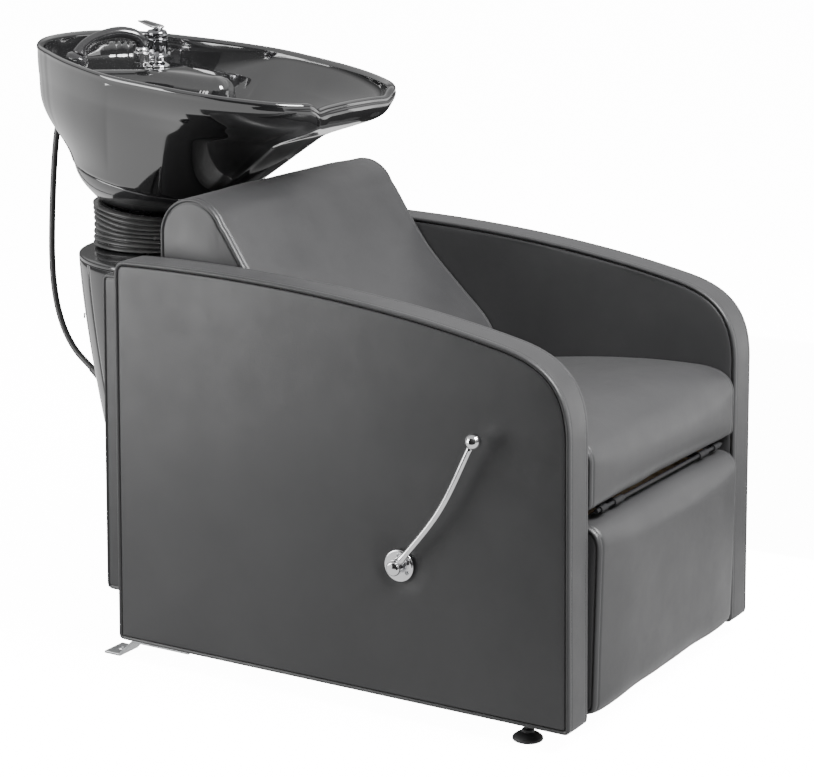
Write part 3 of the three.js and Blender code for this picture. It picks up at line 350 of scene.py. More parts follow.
def rounded(profile, radius, steps=4):
    """A profile whose inner corners are rounded, by cutting each with a short arc."""
    result = [profile[0]]
    for before, at, after in zip(profile, profile[1:], profile[2:]):
        a, b, c = (np.array(p, float) for p in (before, at, after))
        reach = min(radius, np.linalg.norm(a - b) * 0.45, np.linalg.norm(c - b) * 0.45)
        start = b + (a - b) / max(np.linalg.norm(a - b), 1e-9) * reach
        end = b + (c - b) / max(np.linalg.norm(c - b), 1e-9) * reach
        for t in np.linspace(0, 1, steps):
            result.append(tuple((1 - t) ** 2 * start + 2 * t * (1 - t) * b + t**2 * end))
    return result + [profile[-1]]


def smooth_path(points, step):
    """Points along a centripetal Catmull-Rom curve, about a step apart."""
    p = [np.array(q, float) for q in points]
    p = [2 * p[0] - p[1]] + p + [2 * p[-1] - p[-2]]
    result = []
    for a, b, c, d in zip(p, p[1:], p[2:], p[3:]):
        t = [0.0]
        for u, v in ((a, b), (b, c), (c, d)):
            t.append(t[-1] + math.sqrt(max(np.linalg.norm(v - u), 1e-6)))
        count = max(2, round(np.linalg.norm(c - b) / step))
        for s in np.linspace(t[1], t[2], count, endpoint=False):
            row = [a, b, c, d]
            for spans in (((0, 1), (1, 2), (2, 3)), ((0, 2), (1, 3)), ((1, 2),)):
                row = [
                    (u * (t[j] - s) + v * (s - t[i])) / (t[j] - t[i])
                    for (i, j), u, v in zip(spans, row, row[1:])
                ]
            result.append(row[0])
    return np.array(result + [p[-2]])


def tube_rings(path, radii, around):
    """Rings of a tube along a path. radii is one radius or one for each point."""
    path = np.asarray(path, float)
    tangents = np.gradient(path, axis=0)
    tangents /= np.linalg.norm(tangents, axis=1)[:, None]
    radii = np.broadcast_to(radii, (len(path),))
    across = np.cross(tangents[0], (0.0, 0.0, 1.0))
    if np.linalg.norm(across) < 0.1:
        across = np.cross(tangents[0], (1.0, 0.0, 0.0))
    rings = []
    for point, tangent, radius in zip(path, tangents, radii):
        across = unit(across - tangent * np.dot(across, tangent))
        rings.append(swept(point, radius, across, np.cross(tangent, across), around))
    return rings


def run_of(line):
    """The distance along a line from its start to each of its points."""
    return np.concatenate([[0], np.cumsum(np.linalg.norm(np.diff(line, axis=0), axis=1))])


def resampled(points, step):
    """A closed polyline's points at an even spacing."""
    p = np.asarray(points, float)
    p = np.vstack([p, p[:1]])
    lengths = run_of(p)
    count = max(8, round(lengths[-1] / step))
    at = np.linspace(0, lengths[-1], count, endpoint=False)
    return np.stack([np.interp(at, lengths, p[:, k]) for k in range(p.shape[1])], 1)


def outward(outline):
    """The unit normals of a closed outline, pointing out of it."""
    ahead, behind = np.roll(outline, -1, 0), np.roll(outline, 1, 0)
    along = ahead - behind
    along /= np.linalg.norm(along, axis=1)[:, None]
    area = np.sum(outline[:, 0] * ahead[:, 1] - ahead[:, 0] * outline[:, 1])
    normal = np.stack([along[:, 1], -along[:, 0]], 1)
    return normal if area > 0 else -normal


def bezier(a, b, c, d):
    """A cubic curve from a to d, without its last point."""
    t = np.linspace(0, 1, 24, endpoint=False)[:, None]
    a, b, c, d = (np.array(p, float) for p in (a, b, c, d))
    return (1 - t) ** 3 * a + 3 * (1 - t) ** 2 * t * b + 3 * (1 - t) * t**2 * c + t**3 * d


def corner(before, at, after):
    """A quarter turn from one point to another round a corner."""
    t = np.linspace(0, 1, 8)[:, None]
    a, b, c = (np.array(p, float) for p in (before, at, after))
    return (1 - t) ** 2 * a + 2 * (1 - t) * t * b + t**2 * c


def rolling(points, scale, seed):
    """Slow, even noise from -1 to 1 at each point, for leather that isn't drum tight."""
    shift = Vector((seed * 17.3, seed * 5.1, seed * 9.7))
    return np.array([noise.noise(Vector(p) / scale + shift) for p in points])


# ---- the shower hose ----

HOSE_DIAMETER = 10.5
HOSE_X = -45
HOSE_ROUTE = [(HOSE_X, y, z) for y, z in (
    (1065.9, 809.3), (1070, 801.2), (1076, 786), (1082, 761), (1088, 715), (1092.5, 660), (1095.5, 605),
    (1096.5, 555), (1094, 510), (1086, 468), (1071, 430), (1050, 401), (1029, 383.6), (1014.4, 372.6),
    (1005, 365.5))]


def make_shower_hose():
    path = smooth_path(HOSE_ROUTE, 6)
    rings = tube_rings(path, HOSE_DIAMETER / 2, 20)
    hose = make_closed("shower_hose_skin", rings, HOSE, None, ["shower_hose"])
    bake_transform(hose)


make_shower_hose()

# ---- stitching ----

# A stitch's length, the distance from one to the next, the thread's radius and its points around.
STITCH, STITCH_PITCH, THREAD_R, THREAD_AROUND = 3.4, 4.8, 0.42, 6
# (share of the stitch's length, thickness, height) along one stitch, whose ends dip into the cover
STITCH_SHAPE = [(0, 0.35, -0.55), (0.18, 0.9, -0.05), (0.5, 1, 0.1), (0.82, 0.9, -0.05), (1, 0.35, -0.55)]


def stitching(name, lines, body):
    """Rows of thread: each line is points with the surface's outward normals."""
    points, faces = [], []
    shares, swells, lifts = zip(*STITCH_SHAPE)
    for line, normals in lines:
        lengths = run_of(line)
        for start in np.arange(2, lengths[-1] - STITCH - 1, STITCH_PITCH):
            stations = start + np.array(shares) * STITCH
            at = np.stack([np.interp(stations, lengths, line[:, k]) for k in range(3)], 1)
            up = unit([np.interp(start + STITCH / 2, lengths, normals[:, k]) for k in range(3)])
            side = np.cross(unit(at[-1] - at[0]), up)
            base = len(points)
            for centre, swell, lift in zip(at, swells, lifts):
                ring = swept(centre + up * lift * 0.6, swell * THREAD_R, side, up, THREAD_AROUND)
                points += [tuple(p) for p in ring]
            faces += [tuple(base + i for i in f) for f in ring_faces(len(at), THREAD_AROUND)]
            faces.append(tuple(base + i for i in reversed(range(THREAD_AROUND))))
            faces.append(tuple(len(points) - THREAD_AROUND + i for i in range(THREAD_AROUND)))
    make(name, points, faces, THREAD, body)


# ---- upholstery ----

# How far in from a cushion's side its stitches run, and over how many frames it is blown up.
SEAM_AT = 8
CLOTH_FRAMES = 20
CLOTH = {
    "quality": 6, "mass": 0.4, "tension_stiffness": 25, "compression_stiffness": 25, "bending_stiffness": 2,
    "use_pressure": True, "uniform_pressure_force": 4, "vertex_group_mass": "held",
}


def inflate(obj, held, cap):
    """Blows a piece up as cloth under pressure, with some points held and none moved further than the cap."""
    group = obj.vertex_groups.new(name="held")
    group.add([int(i) for i in held], 1.0, "REPLACE")
    before = np.array([v.co for v in obj.data.vertices])
    cloth = obj.modifiers.new("cloth", "CLOTH")
    for setting, value in CLOTH.items():
        setattr(cloth.settings, setting, value)
    cloth.settings.effector_weights.gravity = 0
    cloth.point_cache.frame_end = CLOTH_FRAMES
    scene = bpy.context.scene
    for number in range(1, CLOTH_FRAMES + 1):
        scene.frame_set(number)
    shown = obj.evaluated_get(bpy.context.evaluated_depsgraph_get())
    after = np.array([v.co for v in shown.data.vertices])
    obj.modifiers.remove(cloth)
    scene.frame_set(1)
    move = after - before
    size = np.linalg.norm(move, axis=1)[:, None]
    limit = cap * MM
    move *= np.tanh(size / limit) * limit / np.maximum(size, 1e-12)
    obj.data.vertices.foreach_set("co", (before + move).ravel())
    obj.data.update()


def evened(values, reach):
    """Values round a closed outline, each the mean of those up to reach steps away."""
    wrapped = np.concatenate([values[-reach:], values, values[:reach]])
    return np.convolve(wrapped, np.ones(2 * reach + 1) / (2 * reach + 1), "valid")


def pad_rings(outline, half, crown, dome, waves, seed, flat=2):
    """Rings of a cushion across X: an outline swept from side to side with a sewn side panel at each end.

    crown is how far each outline point stands out at mid-width, and dome how far the side panels do.
    waves is the height of the cover's slow waves. A higher flat keeps the crown level over more width."""
    normal = outward(outline)
    centre = outline.mean(0)
    # (distance from the side, how far the cover dips): the seam's groove, its lip and the stitched channel
    edge = [(0.7, 4.4), (0.1, 2.8), (0.9, 1.2), (2.6, 0.25), (5.0, 0.0), (SEAM_AT - 1.3, 0.1),
            (SEAM_AT, 1.25), (SEAM_AT + 1.3, 0.1), (14, 0.0), (20, 0.0)]
    inner = np.linspace(28, half, max(6, int(half / 12)))
    stations = [(half - d, dip) for d, dip in edge] + [(half - d, 0.0) for d in inner]
    stations += [(-x, dip) for x, dip in reversed(stations[:-1])]
    rings = []
    for x, dip in stations:
        bow = max(0.0, 1 - abs(x / half) ** flat) ** 0.75
        ring = outline + normal * (crown * bow - dip).reshape(-1, 1)
        rings.append(np.column_stack([np.full(len(ring), x), ring]))
    body = np.array(rings)
    cover = body.reshape(-1, 3)
    soft = np.minimum(1, (half - np.abs(cover[:, 0])) / 30)
    push = rolling(cover, 95, seed) * soft * waves
    spread = np.tile(normal, (len(rings), 1))
    grip = np.tile(crown > 0, len(rings))
    cover[:, 1:] += spread * (push * grip)[:, None]
    rings = list(cover.reshape(body.shape))
    # side panels: from the seam's groove towards the middle
    shares = [0.995, 0.985, 0.96, 0.9, 0.8, 0.66, 0.5, 0.33, 0.16]
    first = outline - normal * 6.6
    for side, collect in ((1, lambda r: rings.insert(0, r)), (-1, rings.append)):
        groove = np.column_stack([np.full(len(first), side * (half - 3.6)), outline - normal * 5.4])
        collect(groove)
        for share in shares:
            ring = centre + (first - centre) * share
            rise = half - 0.9 + (dome + 0.9) * (1 - share**2.4) if share < 0.99 else half - 1.0
            collect(np.column_stack([np.full(len(ring), side * rise), ring]))
    return rings


def held_rings(rings, half):
    """The point numbers of the rings at and beside the seams."""
    around = len(rings[0])
    held = []
    for k, ring in enumerate(rings):
        if half - SEAM_AT - 4 < abs(ring[0][0]) < half + 0.1:
            held += range(k * around, (k + 1) * around)
    return held


def make_pad(name, rings, half, nodes, seen, body="frame", puff=None, tight=None):
    """A cushion from its rings: it is blown up by at most puff, and stitched by its sides where it is seen.

    seen says of a point whether its seam shows, and tight whether it is held while it is blown up."""
    points, faces = loft(rings)
    pad = make(f"{name}_pad", points, faces, LEATHER, body, nodes)
    if puff:
        held = held_rings(rings, half)
        if tight:
            held += [k for k, p in enumerate(points) if tight(p)]
        inflate(pad, held, puff)
    lines = []
    for at in (SEAM_AT - half, half - SEAM_AT):
        ring = min(rings, key=lambda r: abs(r[0][0] - at))
        chosen = [i for i in range(len(ring)) if seen(ring[i])]
        facing = outward(ring[:, 1:])[chosen]
        lines.append((ring[chosen], np.column_stack([np.zeros(len(chosen)), facing])))
    stitching(f"{name}_stitches", lines, body)


ARM = {"front_high": 445, "corner": (108, 577), "rear_high": 628, "top_soft": 21, "foot_soft": 10}
ARM_LOW = RIGHT_LOW.z / MM
ARM_INNER = limits("left_edge_band")[0].x
ARM_OUTER, ARM_DEEP = limits("left_edge_band")[1].xy
# How deep the strip round an arm rolls in at its seams, and the dark line between it and a panel.
SEAM_IN = 5.0
SEAM_GAP = 2.3
BAND_STITCHES_AT = 9.0
# How far a panel's face and its back lie in from the strip's edge.
PANEL_IN, PANEL_DEEP = 0.6, 19
LEVER_AT = middle("lever_plate").yz
# The cover is drawn in round the lever's plate, by this much, from this radius and over this distance.
DIMPLE = {"deep": 3.0, "r": 22, "wide": 16}


def arm_outline():
    """An arm seen from its side, from the foot of its raked front up and round."""
    low, high, front = ARM_LOW, ARM["rear_high"], -ARM_RAKE
    top_soft, soft = ARM["top_soft"], ARM["foot_soft"]
    y, z = ARM["corner"]
    start = ARM["front_high"]
    points = [
        np.array([(front, low + soft), (0, start)]),
        bezier((0, start), (0, start + 85), (40, z - 15), (y, z))[1:],
        bezier((y, z), (y + 200, z + 44), (540, high + 5), (ARM_DEEP - top_soft, high)),
        corner((ARM_DEEP - top_soft, high), (ARM_DEEP, high), (ARM_DEEP, high - top_soft)),
        corner((ARM_DEEP, low + soft), (ARM_DEEP, low), (ARM_DEEP - soft, low)),
        corner((front + soft, low), (front, low), (front, low + soft))[:-1],
    ]
    return resampled(np.vstack(points), 3.5)


def make_arm_band(name, side):
    """The strip round an arm's edge: its corners roll into the seams and a row of stitches runs by each."""
    outline = arm_outline()
    normal = outward(outline)
    wide = ARM_OUTER - ARM_INNER
    # (across from the inner face, depth below the outline)
    half = [(1.6, SEAM_IN + 1.2), (1.2, SEAM_IN - 0.3), (0.2, 3.2), (1.0, 1.4), (3.0, 0.25), (5.0, 0.0),
            (7.6, 0.1), (BAND_STITCHES_AT, 0.6), (10.4, 0.1), (13, 0.0), (19, -0.1), (25, -0.2)]
    section = half + [(wide / 2, -0.25)] + [(wide - a, d) for a, d in reversed(half)]
    section += [(wide * 0.75, SEAM_IN + 3), (wide * 0.25, SEAM_IN + 3)]
    push = rolling(np.column_stack([outline, np.zeros(len(outline))]), 120, 3 + side) * 0.35
    rings = []
    for (y, z), (ny, nz), wave in zip(outline, normal, push):
        ring = []
        for across, depth in section:
            lift = -depth + (wave if 3 < across < wide - 3 else 0)
            ring.append((side * (ARM_INNER + across), y + ny * lift, z + nz * lift))
        rings.append(np.array(ring))
    make_hoop(f"{name}_arm_band", rings, LEATHER, "frame", [f"{name}_edge_band"])
    lines = []
    sunk = outline - normal * 0.45
    # the rows start at the foot, where the first stitch isn't seen
    start = int(np.argmin(outline[:, 1] + outline[:, 0] * 0.01))
    for across in (BAND_STITCHES_AT, wide - BAND_STITCHES_AT):
        line = np.column_stack([np.full(len(sunk), side * (ARM_INNER + across)), sunk])
        facing = np.column_stack([np.zeros(len(sunk)), normal])
        lines.append((np.roll(line, -start, 0), np.roll(facing, -start, 0)))
    stitching(f"{name}_arm_stitches", lines, "frame")


def make_arm_panel(name, side, face, back, bore):
    """An arm's flat side between two distances from the mid-plane, drawn in a little round a bore."""
    outline = arm_outline()
    inset = outline - outward(outline) * (SEAM_IN + SEAM_GAP)
    centre = inset.mean(0)
    inwards = -1 if back < face else 1
    rings = [np.column_stack([np.full(len(inset), side * back), centre + (inset - centre) * 0.97])]
    for depth, share in ((4.0, 1.0), (2.0, 1.0), (0.6, 0.9975), (0.0, 0.993), (-0.1, 0.985)):
        ring = centre + (inset - centre) * share
        rings.append(np.column_stack([np.full(len(ring), side * (face + inwards * depth)), ring]))
    for share in np.linspace(0.965, 0.02, 46):
        ring = centre + (inset - centre) * share
        dome = 2.2 * (1 - share**5)
        rings.append(np.column_stack([np.full(len(ring), side * (face - inwards * dome)), ring]))
    for k in range(5, len(rings)):
        ring = rings[k]
        ring[:, 0] += rolling(ring, 130, 5 + side) * 0.9
        if bore:
            reach = np.hypot(ring[:, 1] - bore[0], ring[:, 2] - bore[1])
            beyond = np.maximum(reach - DIMPLE["r"], 0) / DIMPLE["wide"]
            ring[:, 0] += side * inwards * DIMPLE["deep"] * np.exp(-(beyond**2))
    kind = "outer" if face > back else "inner"
    panel = make_closed(f"{name}_arm_{kind}_cover", rings, LEATHER, "frame", [f"{name}_{kind}_pad"])


for arm_name, arm_side in (("right", -1), ("left", 1)):
    make_arm_band(arm_name, arm_side)
    arm_bore = LEVER_AT if arm_name == "right" else None
    make_arm_panel(arm_name, arm_side, ARM_OUTER - PANEL_IN, ARM_OUTER - PANEL_DEEP, arm_bore)
    make_arm_panel(arm_name, arm_side, ARM_INNER + PANEL_IN, ARM_INNER + PANEL_DEEP, None)


def make_seat():
    low, high = limits("seat_cushion")
    half = high.x - 1.5
    front, back, bottom, top = low.y, high.y, low.z, high.z
    outline = resampled(np.vstack([
        [(back, bottom + 16), (back, top - 44)],
        bezier((back, top - 44), (back - 130, top - 18), (160, top - 6), (58, top - 7)),
        bezier((58, top - 7), (22, top - 8), (front + 3, top - 18), (front + 1, top - 44)),
        [(front, bottom + 10)],
        corner((front, bottom + 10), (front, bottom), (front + 9, bottom)),
        [(back * 0.5, bottom)],
    ]), 7)
    normal = outward(outline)
    depth = (outline[:, 0] - front) / (back - front)
    crown = np.where(normal[:, 1] > 0.3, 9 * np.sin(math.pi * np.clip(depth * 0.8 + 0.28, 0, 1)) ** 1.1, 0)
    crown = evened(np.where(normal[:, 0] < -0.5, 4.0, crown), 4)
    crown[outline[:, 1] < bottom + 14] *= 0.3
    rings = pad_rings(outline, half, crown, 2.0, waves=1.6, seed=2)
    make_pad("seat", rings, half, ["seat_cushion"], lambda p: p[2] > bottom + 14 and p[1] < back - 5, puff=6)


def make_leg_rest():
    low, high = limits("leg_rest_cushion")
    half = high.x - 1.0
    front, back, bottom, top = low.y + 7, high.y, low.z, high.z - 8
    round_top, round_low = 34, 16
    outline = resampled(np.vstack([
        [(back, bottom + 4), (back, top - 10)],
        corner((back, top - 10), (back, top), (back - 10, top)),
        corner((front + round_top, top), (front, top), (front, top - round_top)),
        corner((front, bottom + round_low), (front, bottom), (front + round_low, bottom)),
        [(back - 4, bottom)],
    ]), 6)
    crown = evened(np.where(outward(outline)[:, 0] < -0.2, 7.0, 0.0), 4)
    rings = pad_rings(outline, half, crown, 1.5, waves=1.2, seed=4, flat=9)
    make_pad("leg_rest", rings, half, ["leg_rest_cushion"], lambda p: p[1] < back - 6, "leg_rest", puff=4)


def make_backrest():
    low, high = limits("backrest_right_side")
    half = -low.x - 1.0
    rear, foot, top = high.y - 2, low.z, high.z - 5
    radius = 57
    centre = (rear - radius, top - radius)
    turn = np.radians(np.linspace(165, 0, 26))
    roll = np.column_stack([centre[0] + radius * np.cos(turn), centre[1] + radius * np.sin(turn)])
    sweep = [(low.y, 436), (438, 478), (486, 524), (552, 590), (613, 678)]
    face = smooth_path([(y, z, 0) for y, z in sweep], 8)[:, :2]
    outline = np.vstack([[(low.y, foot)], face, roll[1:], [(rear, foot)]])[::-1]
    outline = resampled(outline, 7)
    # only the front above the seat swells
    swells = (outward(outline)[:, 0] < -0.1) & (outline[:, 1] > 440)
    crown = evened(np.where(swells, 9.0, 0.0), 6)
    rings = pad_rings(outline, half, crown, 3.5, waves=1.8, seed=6)
    # the cover is drawn tight over the roll's top and back, which the basin passes closely
    make_pad(
        "backrest", rings, half, ["backrest_cushion", "backrest_right_side", "backrest_left_side"],
        lambda p: p[2] > foot + 40, puff=6, tight=lambda p: p[2] > foot + 40 and p[1] > centre[0] - 20)


def make_rear_panel():
    low, high = limits("rear_panel_cover")
    half = high.x - 0.5
    front, back, bottom, top = low.y, high.y, low.z, high.z
    soft = 10
    outline = resampled(np.vstack([
        [(front, bottom), (front, top)],
        corner((back - soft, top), (back, top), (back, top - soft)),
        corner((back, bottom + soft), (back, bottom), (back - soft, bottom)),
    ]), 7)
    rings = pad_rings(outline, half, np.zeros(len(outline)), 0.5, waves=0.0, seed=8)
    make_pad("rear_panel", rings, half, ["rear_panel_cover"], lambda p: p[1] > front + 6)


make_seat()
make_leg_rest()
make_backrest()
make_rear_panel()

# ---- basin ----

# The rim's height at its front edge, and how fast it rises to the back.
RIM = {"front": 545, "z": 859, "slope": 0.115}
# The round edge at the wall's foot: its middle, radius and lean in degrees.
SKIRT = {"y": 908, "z": 709, "r": 142, "lean": 12}
# How far the wall stands out half way up, at the sides and at the front.
SWELL = {"side": 7, "front": 15}
BASIN_WALL, NECK_DIP = 11, 11
BOWL_FLOOR, BOWL_MIDDLE = 758, 765
DECK_TOP, DECK_TIP, DECK_TIP_R = 878, 768, 30
# The deck's shoulder radius, how steeply its side falls below it, and the fillet at its foot.
DECK_ROUND, DECK_STEEP, DECK_FILLET = 24, 6, 12.0
DRAIN_Y, DRAIN_R, DRAIN_DEEP = 742, 21, 24
RIM_CENTRE = np.array([0.0, 830.0])
# Half of the rim seen from above, from the back to the front.
HALF_RIM = [(0, 1093), (72, 1083), (138, 1044), (176, 990), (212, 920), (238, 835), (236, 765), (222, 680),
            (194, 612), (160, 566), (118, 543), (60, 549)]
BASIN_AROUND = 360


def rim_table():
    """The rim's distance from its centre at each angle, seen from above."""
    points = HALF_RIM + [(0, 552)] + [(-x, y) for x, y in reversed(HALF_RIM[1:])]
    overlap = points[-3:] + points + points[:3]
    curve = smooth_path([(x, y, 0) for x, y in overlap], 2)[:, :2] - RIM_CENTRE
    angle = np.arctan2(curve[:, 1], curve[:, 0])
    order = np.argsort(angle)
    return angle[order], np.hypot(curve[:, 0], curve[:, 1])[order]


RIM_ANGLES, RIM_RADII = rim_table()
AROUND = np.linspace(0, 2 * math.pi, BASIN_AROUND, endpoint=False)
COS, SIN = circle(BASIN_AROUND)


def blend_in(value, start, end):
    """A smooth step from 0 at start to 1 at end."""
    t = np.clip((value - start) / (end - start), 0, 1)
    return t * t * (3 - 2 * t)


def rim_height(x, y):
    """The rim rises to the back, and dips between its two front corners where the neck lies."""
    neck = blend_in(np.abs(x), 126, 98) * blend_in(y, 640, 570)
    return RIM["z"] + RIM["slope"] * (y - RIM["front"]) - NECK_DIP * neck


def rim_ring(inwards, down):
    """The rim's line, moved towards the middle and down."""
    wrapped = (AROUND + math.pi) % (2 * math.pi) - math.pi
    radius = np.interp(wrapped, RIM_ANGLES, RIM_RADII, period=2 * math.pi) - inwards
    x, y = RIM_CENTRE[0] + radius * COS, RIM_CENTRE[1] + radius * SIN
    return np.stack([x, y, rim_height(x, y) - down], 1)


def skirt_ring(inwards, down=0.0):
    """The edge at the wall's foot, moved towards the middle and down."""
    radius = SKIRT["r"] - inwards
    y = SKIRT["y"] + radius * SIN
    z = SKIRT["z"] + math.tan(math.radians(SKIRT["lean"])) * (y - SKIRT["y"]) - down
    return np.stack([radius * COS, y, z], 1)


def wall_ring(share, inwards):
    """The wall between the skirt's edge at 0 and the rim at 1. share is a number or one for each angle."""
    share = np.broadcast_to(share, SIN.shape)
    low, high = skirt_ring(inwards), rim_ring(inwards, 0)
    # close under the rim the wall turns upright, most of all at the front, where it makes the thick lip
    t = np.clip((share - 0.72) / 0.28, 0, 1)
    upright = 0.28 * (0.5 * t - 0.1 * t**2 - 0.4 * t**3) * (0.7 - 0.3 * SIN)
    upright += (1 - share) * blend_in(share, 0.58, 0.84) * 0.85 * np.maximum(0, -SIN) ** 2
    # and at the back it is upright from above half way
    upright += (1 - share) * blend_in(share, 0, 0.6) * 0.95 * np.maximum(0, SIN) ** 0.8
    ring = low + (high - low) * share[:, None]
    ring[:, :2] += (high - low)[:, :2] * upright[:, None]
    swell = SWELL["side"] * (1 - np.maximum(0, SIN)) - SWELL["front"] * np.maximum(0, -SIN)
    bulge = swell * np.sin(math.pi * share**1.5)
    ring[:, 0] += bulge * COS
    ring[:, 1] += bulge * SIN
    return ring


def bowl_ring(share):
    """The bowl's inside wall, from the top of its round bottom at 0 to the rim at 1."""
    inwards = BASIN_WALL + 5 * np.maximum(0, -SIN)
    low, high = skirt_ring(inwards)[:, 2], rim_ring(inwards, 0)[:, 2]
    start = (BOWL_FLOOR + 27 + 19 * SIN - low) / (high - low)
    return wall_ring(start + (1 - start) * share, inwards)


def bottom_ring(out):
    """The bowl's round bottom, from its middle at 0 to the inside wall at 1."""
    edge = bowl_ring(0.0)
    rise = max(0.0, (out - 0.62) / 0.38) ** 2
    return np.stack([
        edge[:, 0] * out, BOWL_MIDDLE + (edge[:, 1] - BOWL_MIDDLE) * out,
        BOWL_FLOOR + (edge[:, 2] - BOWL_FLOOR) * rise], 1)


def deck_half_width(y):
    """Half the width of the raised deck that carries the tap: a tongue that widens to the back."""
    beyond = np.maximum(y - DECK_TIP - DECK_TIP_R, 0)
    return DECK_TIP_R + beyond * 0.16 + 0.0022 * beyond**2


def raise_deck(ring):
    """Lifts the points of the bowl that the deck stands on, with a round shoulder and a filleted foot."""
    x, y, z = ring.T
    tip_y = DECK_TIP + DECK_TIP_R
    inside = np.where(y < tip_y, DECK_TIP_R - np.hypot(x, y - tip_y), deck_half_width(y) - np.abs(x))
    short = DECK_ROUND - np.clip(inside, 0, DECK_ROUND)
    drop = DECK_ROUND - np.sqrt(DECK_ROUND**2 - short**2) + DECK_STEEP * np.maximum(-inside, 0)
    to_tip = blend_in(y, 890, 790)
    crest = DECK_TOP - 7 * to_tip - 0.005 * x**2 * to_tip
    lifted = crest - drop
    near = np.maximum(DECK_FILLET - np.abs(lifted - z), 0)
    return np.stack([x, y, np.maximum(lifted, z) + near**2 / (4 * DECK_FILLET)], 1)


def sink_drain(ring):
    """Lowers the middle of the bowl's bottom into the drain."""
    near = np.hypot(ring[:, 0], ring[:, 1] - DRAIN_Y) < DRAIN_R
    ring[near, 2] = BOWL_FLOOR - DRAIN_DEEP
    return ring


def make_basin():
    rings = [skirt_ring(BASIN_WALL, -24), skirt_ring(BASIN_WALL, 0), skirt_ring(BASIN_WALL - 2, 1.6),
             skirt_ring(2.5, 1.6), skirt_ring(0.4, 0.2)]
    rings += [wall_ring(share, 0) for share in np.linspace(0.02, 0.945, 44)]
    # the rim: a slight bead outside, a rounded top and a soft edge into the bowl
    rings += [rim_ring(inwards, down) for inwards, down in (
        (-0.9, 7.6), (-1.7, 5.6), (-1.8, 3.8), (-1.2, 2.0), (0.0, 0.8), (1.8, 0.1), (4.0, -0.1), (6.4, 0.4),
        (8.6, 1.5), (10.2, 3.2))]
    inner = [bowl_ring(share) for share in np.linspace(0.95, 0.0, 64)]
    inner += [bottom_ring(out) for out in np.concatenate([np.linspace(0.985, 0.1, 64), [0.04]])]
    rings += [sink_drain(raise_deck(ring)) for ring in inner]
    make_closed("basin_shell", rings, GLAZE, "basin", ["basin_bowl"])


make_basin()

BELLOWS = {"r": 89, "valley": 81, "folds": 8, "top": 652}
BELLOWS_AROUND = 96
NECK_Y = middle("bellows").y
NECK_SLOPE = math.tan(math.radians(7))


def make_bellows():
    """A soft rubber gaiter of uneven folds, whose top leans back with the basin."""
    z0, z1 = limits("column_top")[1].z + 0.3, BELLOWS["top"]
    r, valley, folds = BELLOWS["r"], BELLOWS["valley"], BELLOWS["folds"]
    profile = []
    for z in np.linspace(z0, z1, folds * 12 + 1):
        turn = (z - z0) / (z1 - z0) * folds
        fold = abs(math.sin(math.pi * turn)) ** 0.8
        waist = 3.0 * math.sin(math.pi * (z - z0) / (z1 - z0)) ** 2
        profile.append((valley + (r - valley) * fold - waist * 0.5, z))
    inside = [(valley - 6, z1), (valley - 6, z0)]
    rings = turned(profile + inside, (0, NECK_Y), BELLOWS_AROUND)
    # the top leans back with the basin, and the lowest ring stays level
    for ring in rings:
        share = np.clip((ring[:, 2] - z0) / (z1 - z0), 0, 1) ** 0.6
        ring[:, 2] += share * NECK_SLOPE * (ring[:, 1] - NECK_Y)
    for k, ring in enumerate(rings[:-2]):
        turn = np.arctan2(ring[:, 1] - NECK_Y, ring[:, 0])
        sag = 1.6 * np.sin(2 * turn + k * 0.05) + 1.1 * np.sin(3 * turn - k * 0.09)
        ring[:, 2] += sag * math.sin(math.pi * k / len(rings))
    # the gaiter's rubber is lighter than the hose's as painted sheen
    piece = make_hoop("bellows_gaiter", rings, BELLOWS_RUBBER_PAINTED_SHEEN, None, ["bellows"])
    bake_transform(piece)


make_bellows()


def make_collar():
    """The moulding that closes the basin's skirt down to the gaiter."""
    def neck(inwards, down=0.0):
        radius = BELLOWS["valley"] - 3 - inwards
        y = NECK_Y + radius * SIN
        return np.stack([radius * COS, y, BELLOWS["top"] + 4 + NECK_SLOPE * (y - NECK_Y) - down], 1)

    outer = skirt_ring(3.0, 3.2)
    rings = [skirt_ring(15, -5), skirt_ring(12.5, -5), skirt_ring(12.5, 2.4), skirt_ring(5.0, 2.4), outer]
    low = neck(0)
    for share in np.linspace(0.06, 1, 18):
        ring = outer + (low - outer) * share
        belly = 9 * math.sin(math.pi * share) * (1 - 0.4 * share)
        ring[:, 0] += belly * COS
        ring[:, 1] += belly * SIN
        rings.append(ring)
    rings += [neck(2, 0), neck(2, -6), skirt_ring(15, -1)]
    make_hoop("basin_skirt_collar", rings, GLOSS, "basin", ["basin_collar"], slot="matte_black_plastic")


make_collar()

HOSE_GLANDS = {
    "basin": {"at": (HOSE_X, 1063, 815), "aim": (0, 0.45, -0.89), "root": -12, "tip": 30},
    "column": {"at": (HOSE_X, 987, 352), "aim": (0, 0.8, 0.6), "root": -8, "tip": 40},
}


def make_gland(name, body):
    """A ribbed rubber strain relief that narrows from its housing down to the shower hose."""
    spec = HOSE_GLANDS[name]
    aim, root, tip = unit(spec["aim"]), spec["root"], spec["tip"]
    side = np.array([1.0, 0, 0])
    profile = [(5.5, root), (9.0, root), (9.0, 4)]
    for k, along in enumerate(np.arange(6, tip - 2, 2.0)):
        cone = 9.2 - 2.6 * (along - 4) / (tip - 4)
        profile.append((cone if k % 2 else cone - 0.9, along))
    profile += [(6.0, tip), (5.5, tip)]
    at = np.array(spec["at"])
    rings = [swept(at + aim * along, radius, side, np.cross(aim, side), 40) for radius, along in profile]
    make_hoop(f"hose_{name}_strain_relief", rings, HOSE, body, [f"hose_{name}_gland"])


make_gland("basin", "basin")
make_gland("column", "frame")

# ---- column ----

COLUMN_FACE, COLUMN_LOW = limits("column_shell")[0].yz
COLUMN_TOP = limits("column_top")[1].z
COLUMN_TOP_R = limits("column_top")[1].x
COLUMN_LOW_R = 104
COLUMN_FLARE = 1.4
COVER_ANGLE = math.radians(30)


